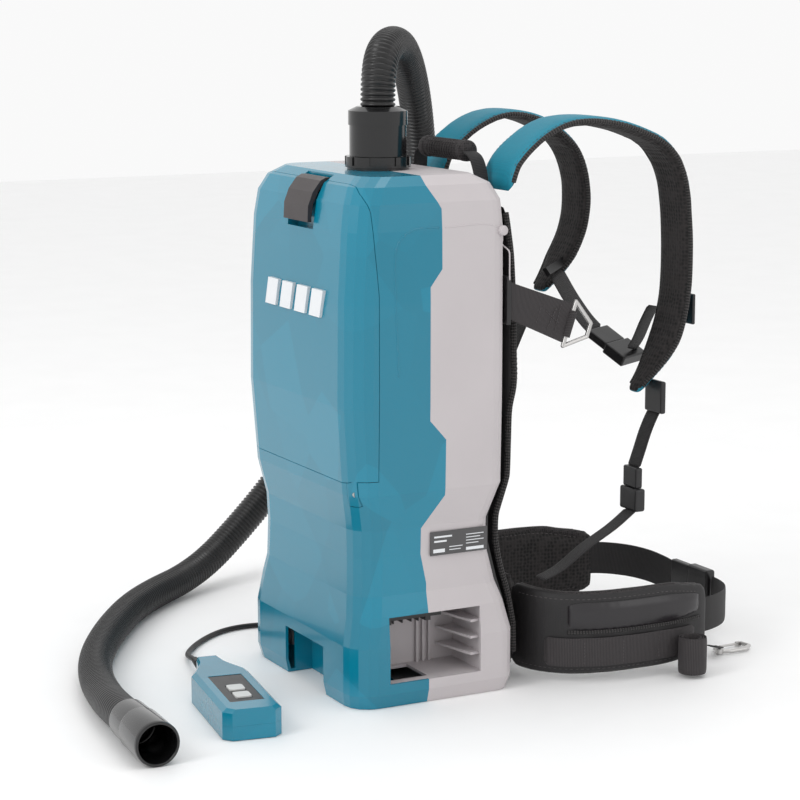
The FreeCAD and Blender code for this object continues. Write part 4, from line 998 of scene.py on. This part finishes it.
# ---------------------------------------------------------------- moulded lines and knobs on the casing
SIDE_LINE = [(-33, 330), (-36, 400), (-36, 450), (-31, 462), (-17, 471), (20, 472), (73, 471), (87, 456),
             (90, 417)]
for label, sign in (("r", 1), ("l", -1)):
    path = smooth_line([(sign * CASING_HALF, y, z) for y, z in SIDE_LINE], 2.0)
    outside = np.tile([sign * 1.0, 0.0, 0.0], (len(path), 1))
    for part_name, material, slot_name, keep in (("front_housing", "teal", "teal_plastic", path[:, 1] < 13),
                                                 ("rear_housing", "grey", "grey_plastic", path[:, 1] > 16.5)):
        row = laid_on(path[keep], outside[keep], frame["nodes"][part_name], lift=-0.25, reach=20.0)
        place(tube(f"side_line_{part_name}_{label}", row, 0.75, around=8), material, slot_name)
    knob = lathe(f"edge_knob_{label}", [(0, 0.4), (0, 5.0), (4.0, 5.0), (5.4, 4.4), (6.0, 3.2), (6.2, 0.4)],
                 (sign * 121.0, 82.0, 466.0), (sign * 1.0, 0.25, 0), around=32)
    place(knob, "grey", "grey_plastic")


# ---------------------------------------------------------------- finish of the moulded parts
FINISH = {
    "teal_plastic": "teal", "grey_plastic": "grey", "black_plastic": "black_gloss", "dark_plastic": "dark",
    "latch_plastic": "latch", "hose_plastic": "hose", "cable_jacket": "cable", "seal_rubber": "rubber",
    "teal_fabric": "teal_cloth", "black_fabric": "black_cloth", "webbing": "webbing", "filter_paper": "paper",
    "bag_fleece": "fleece", "foam": "foam", "steel": "steel", "ring_steel": "steel",
    "copper_winding": "copper", "board_green": "board", "plate_grey": "plate", "badge_white": "print",
    "button_grey": "button"}
SOFT_EDGE = {"front_housing": 0.5, "rear_housing": 0.5, "dust_cover": 0.5, "latch": 0.5, "remote_top": 0.8,
             "remote_bottom": 0.8, "lock_ring": 0.6, "hose_connector": 0.5}
for part in frame["record"]["subparts"]:
    node = frame["nodes"][part["node"]]
    node.data.materials.clear()
    node.data.materials.append(M[FINISH[part["material_slot"]]])
    if node.hide_render:
        continue
    node.data.polygons.foreach_set("use_smooth", [True] * len(node.data.polygons))
    node.data.set_sharp_from_angle(angle=math.radians(28))
    if part["node"] in SOFT_EDGE:
        bevel = node.modifiers.new("edge", "BEVEL")
        bevel.width, bevel.segments = SOFT_EDGE[part["node"]] * MM, 2
        bevel.limit_method, bevel.angle_limit = "ANGLE", math.radians(38)
        bevel.harden_normals = True

# ---------------------------------------------------------------- floor and light
floor_material = plastic("floor_pale", (0.93, 0.93, 0.93), 0.55, variation=0.01, grain=300.0, strength=0.02)
FLOOR_HALF, FLOOR_DROP = 6000, -0.3
floor_corners = [(x * FLOOR_HALF, y * FLOOR_HALF, FLOOR_DROP)
                 for x, y in ((-1, -1), (1, -1), (1, 1), (-1, 1))]
floor = mesh_object("floor", floor_corners, [(0, 1, 2, 3)])
floor.data.materials.append(floor_material)
world = bpy.data.worlds.new("world")
bpy.context.scene.world = world
world.use_nodes = True
world.node_tree.nodes["Background"].inputs["Color"].default_value = (1, 1, 1, 1)
world.node_tree.nodes["Background"].inputs["Strength"].default_value = 0.95
add_area("key", (0.6, -2.4, 1.9), (0, 0, 0.3), (0.9, 1.6), 22)
add_area("fill", (2.6, 1.6, 1.4), (0, 0, 0.3), (1.0, 1.4), 7)
add_area("top", (0.0, 0.2, 2.6), (0, 0, 0.3), (1.4, 1.4), 8)
bpy.context.scene.view_settings.view_transform = "Standard"
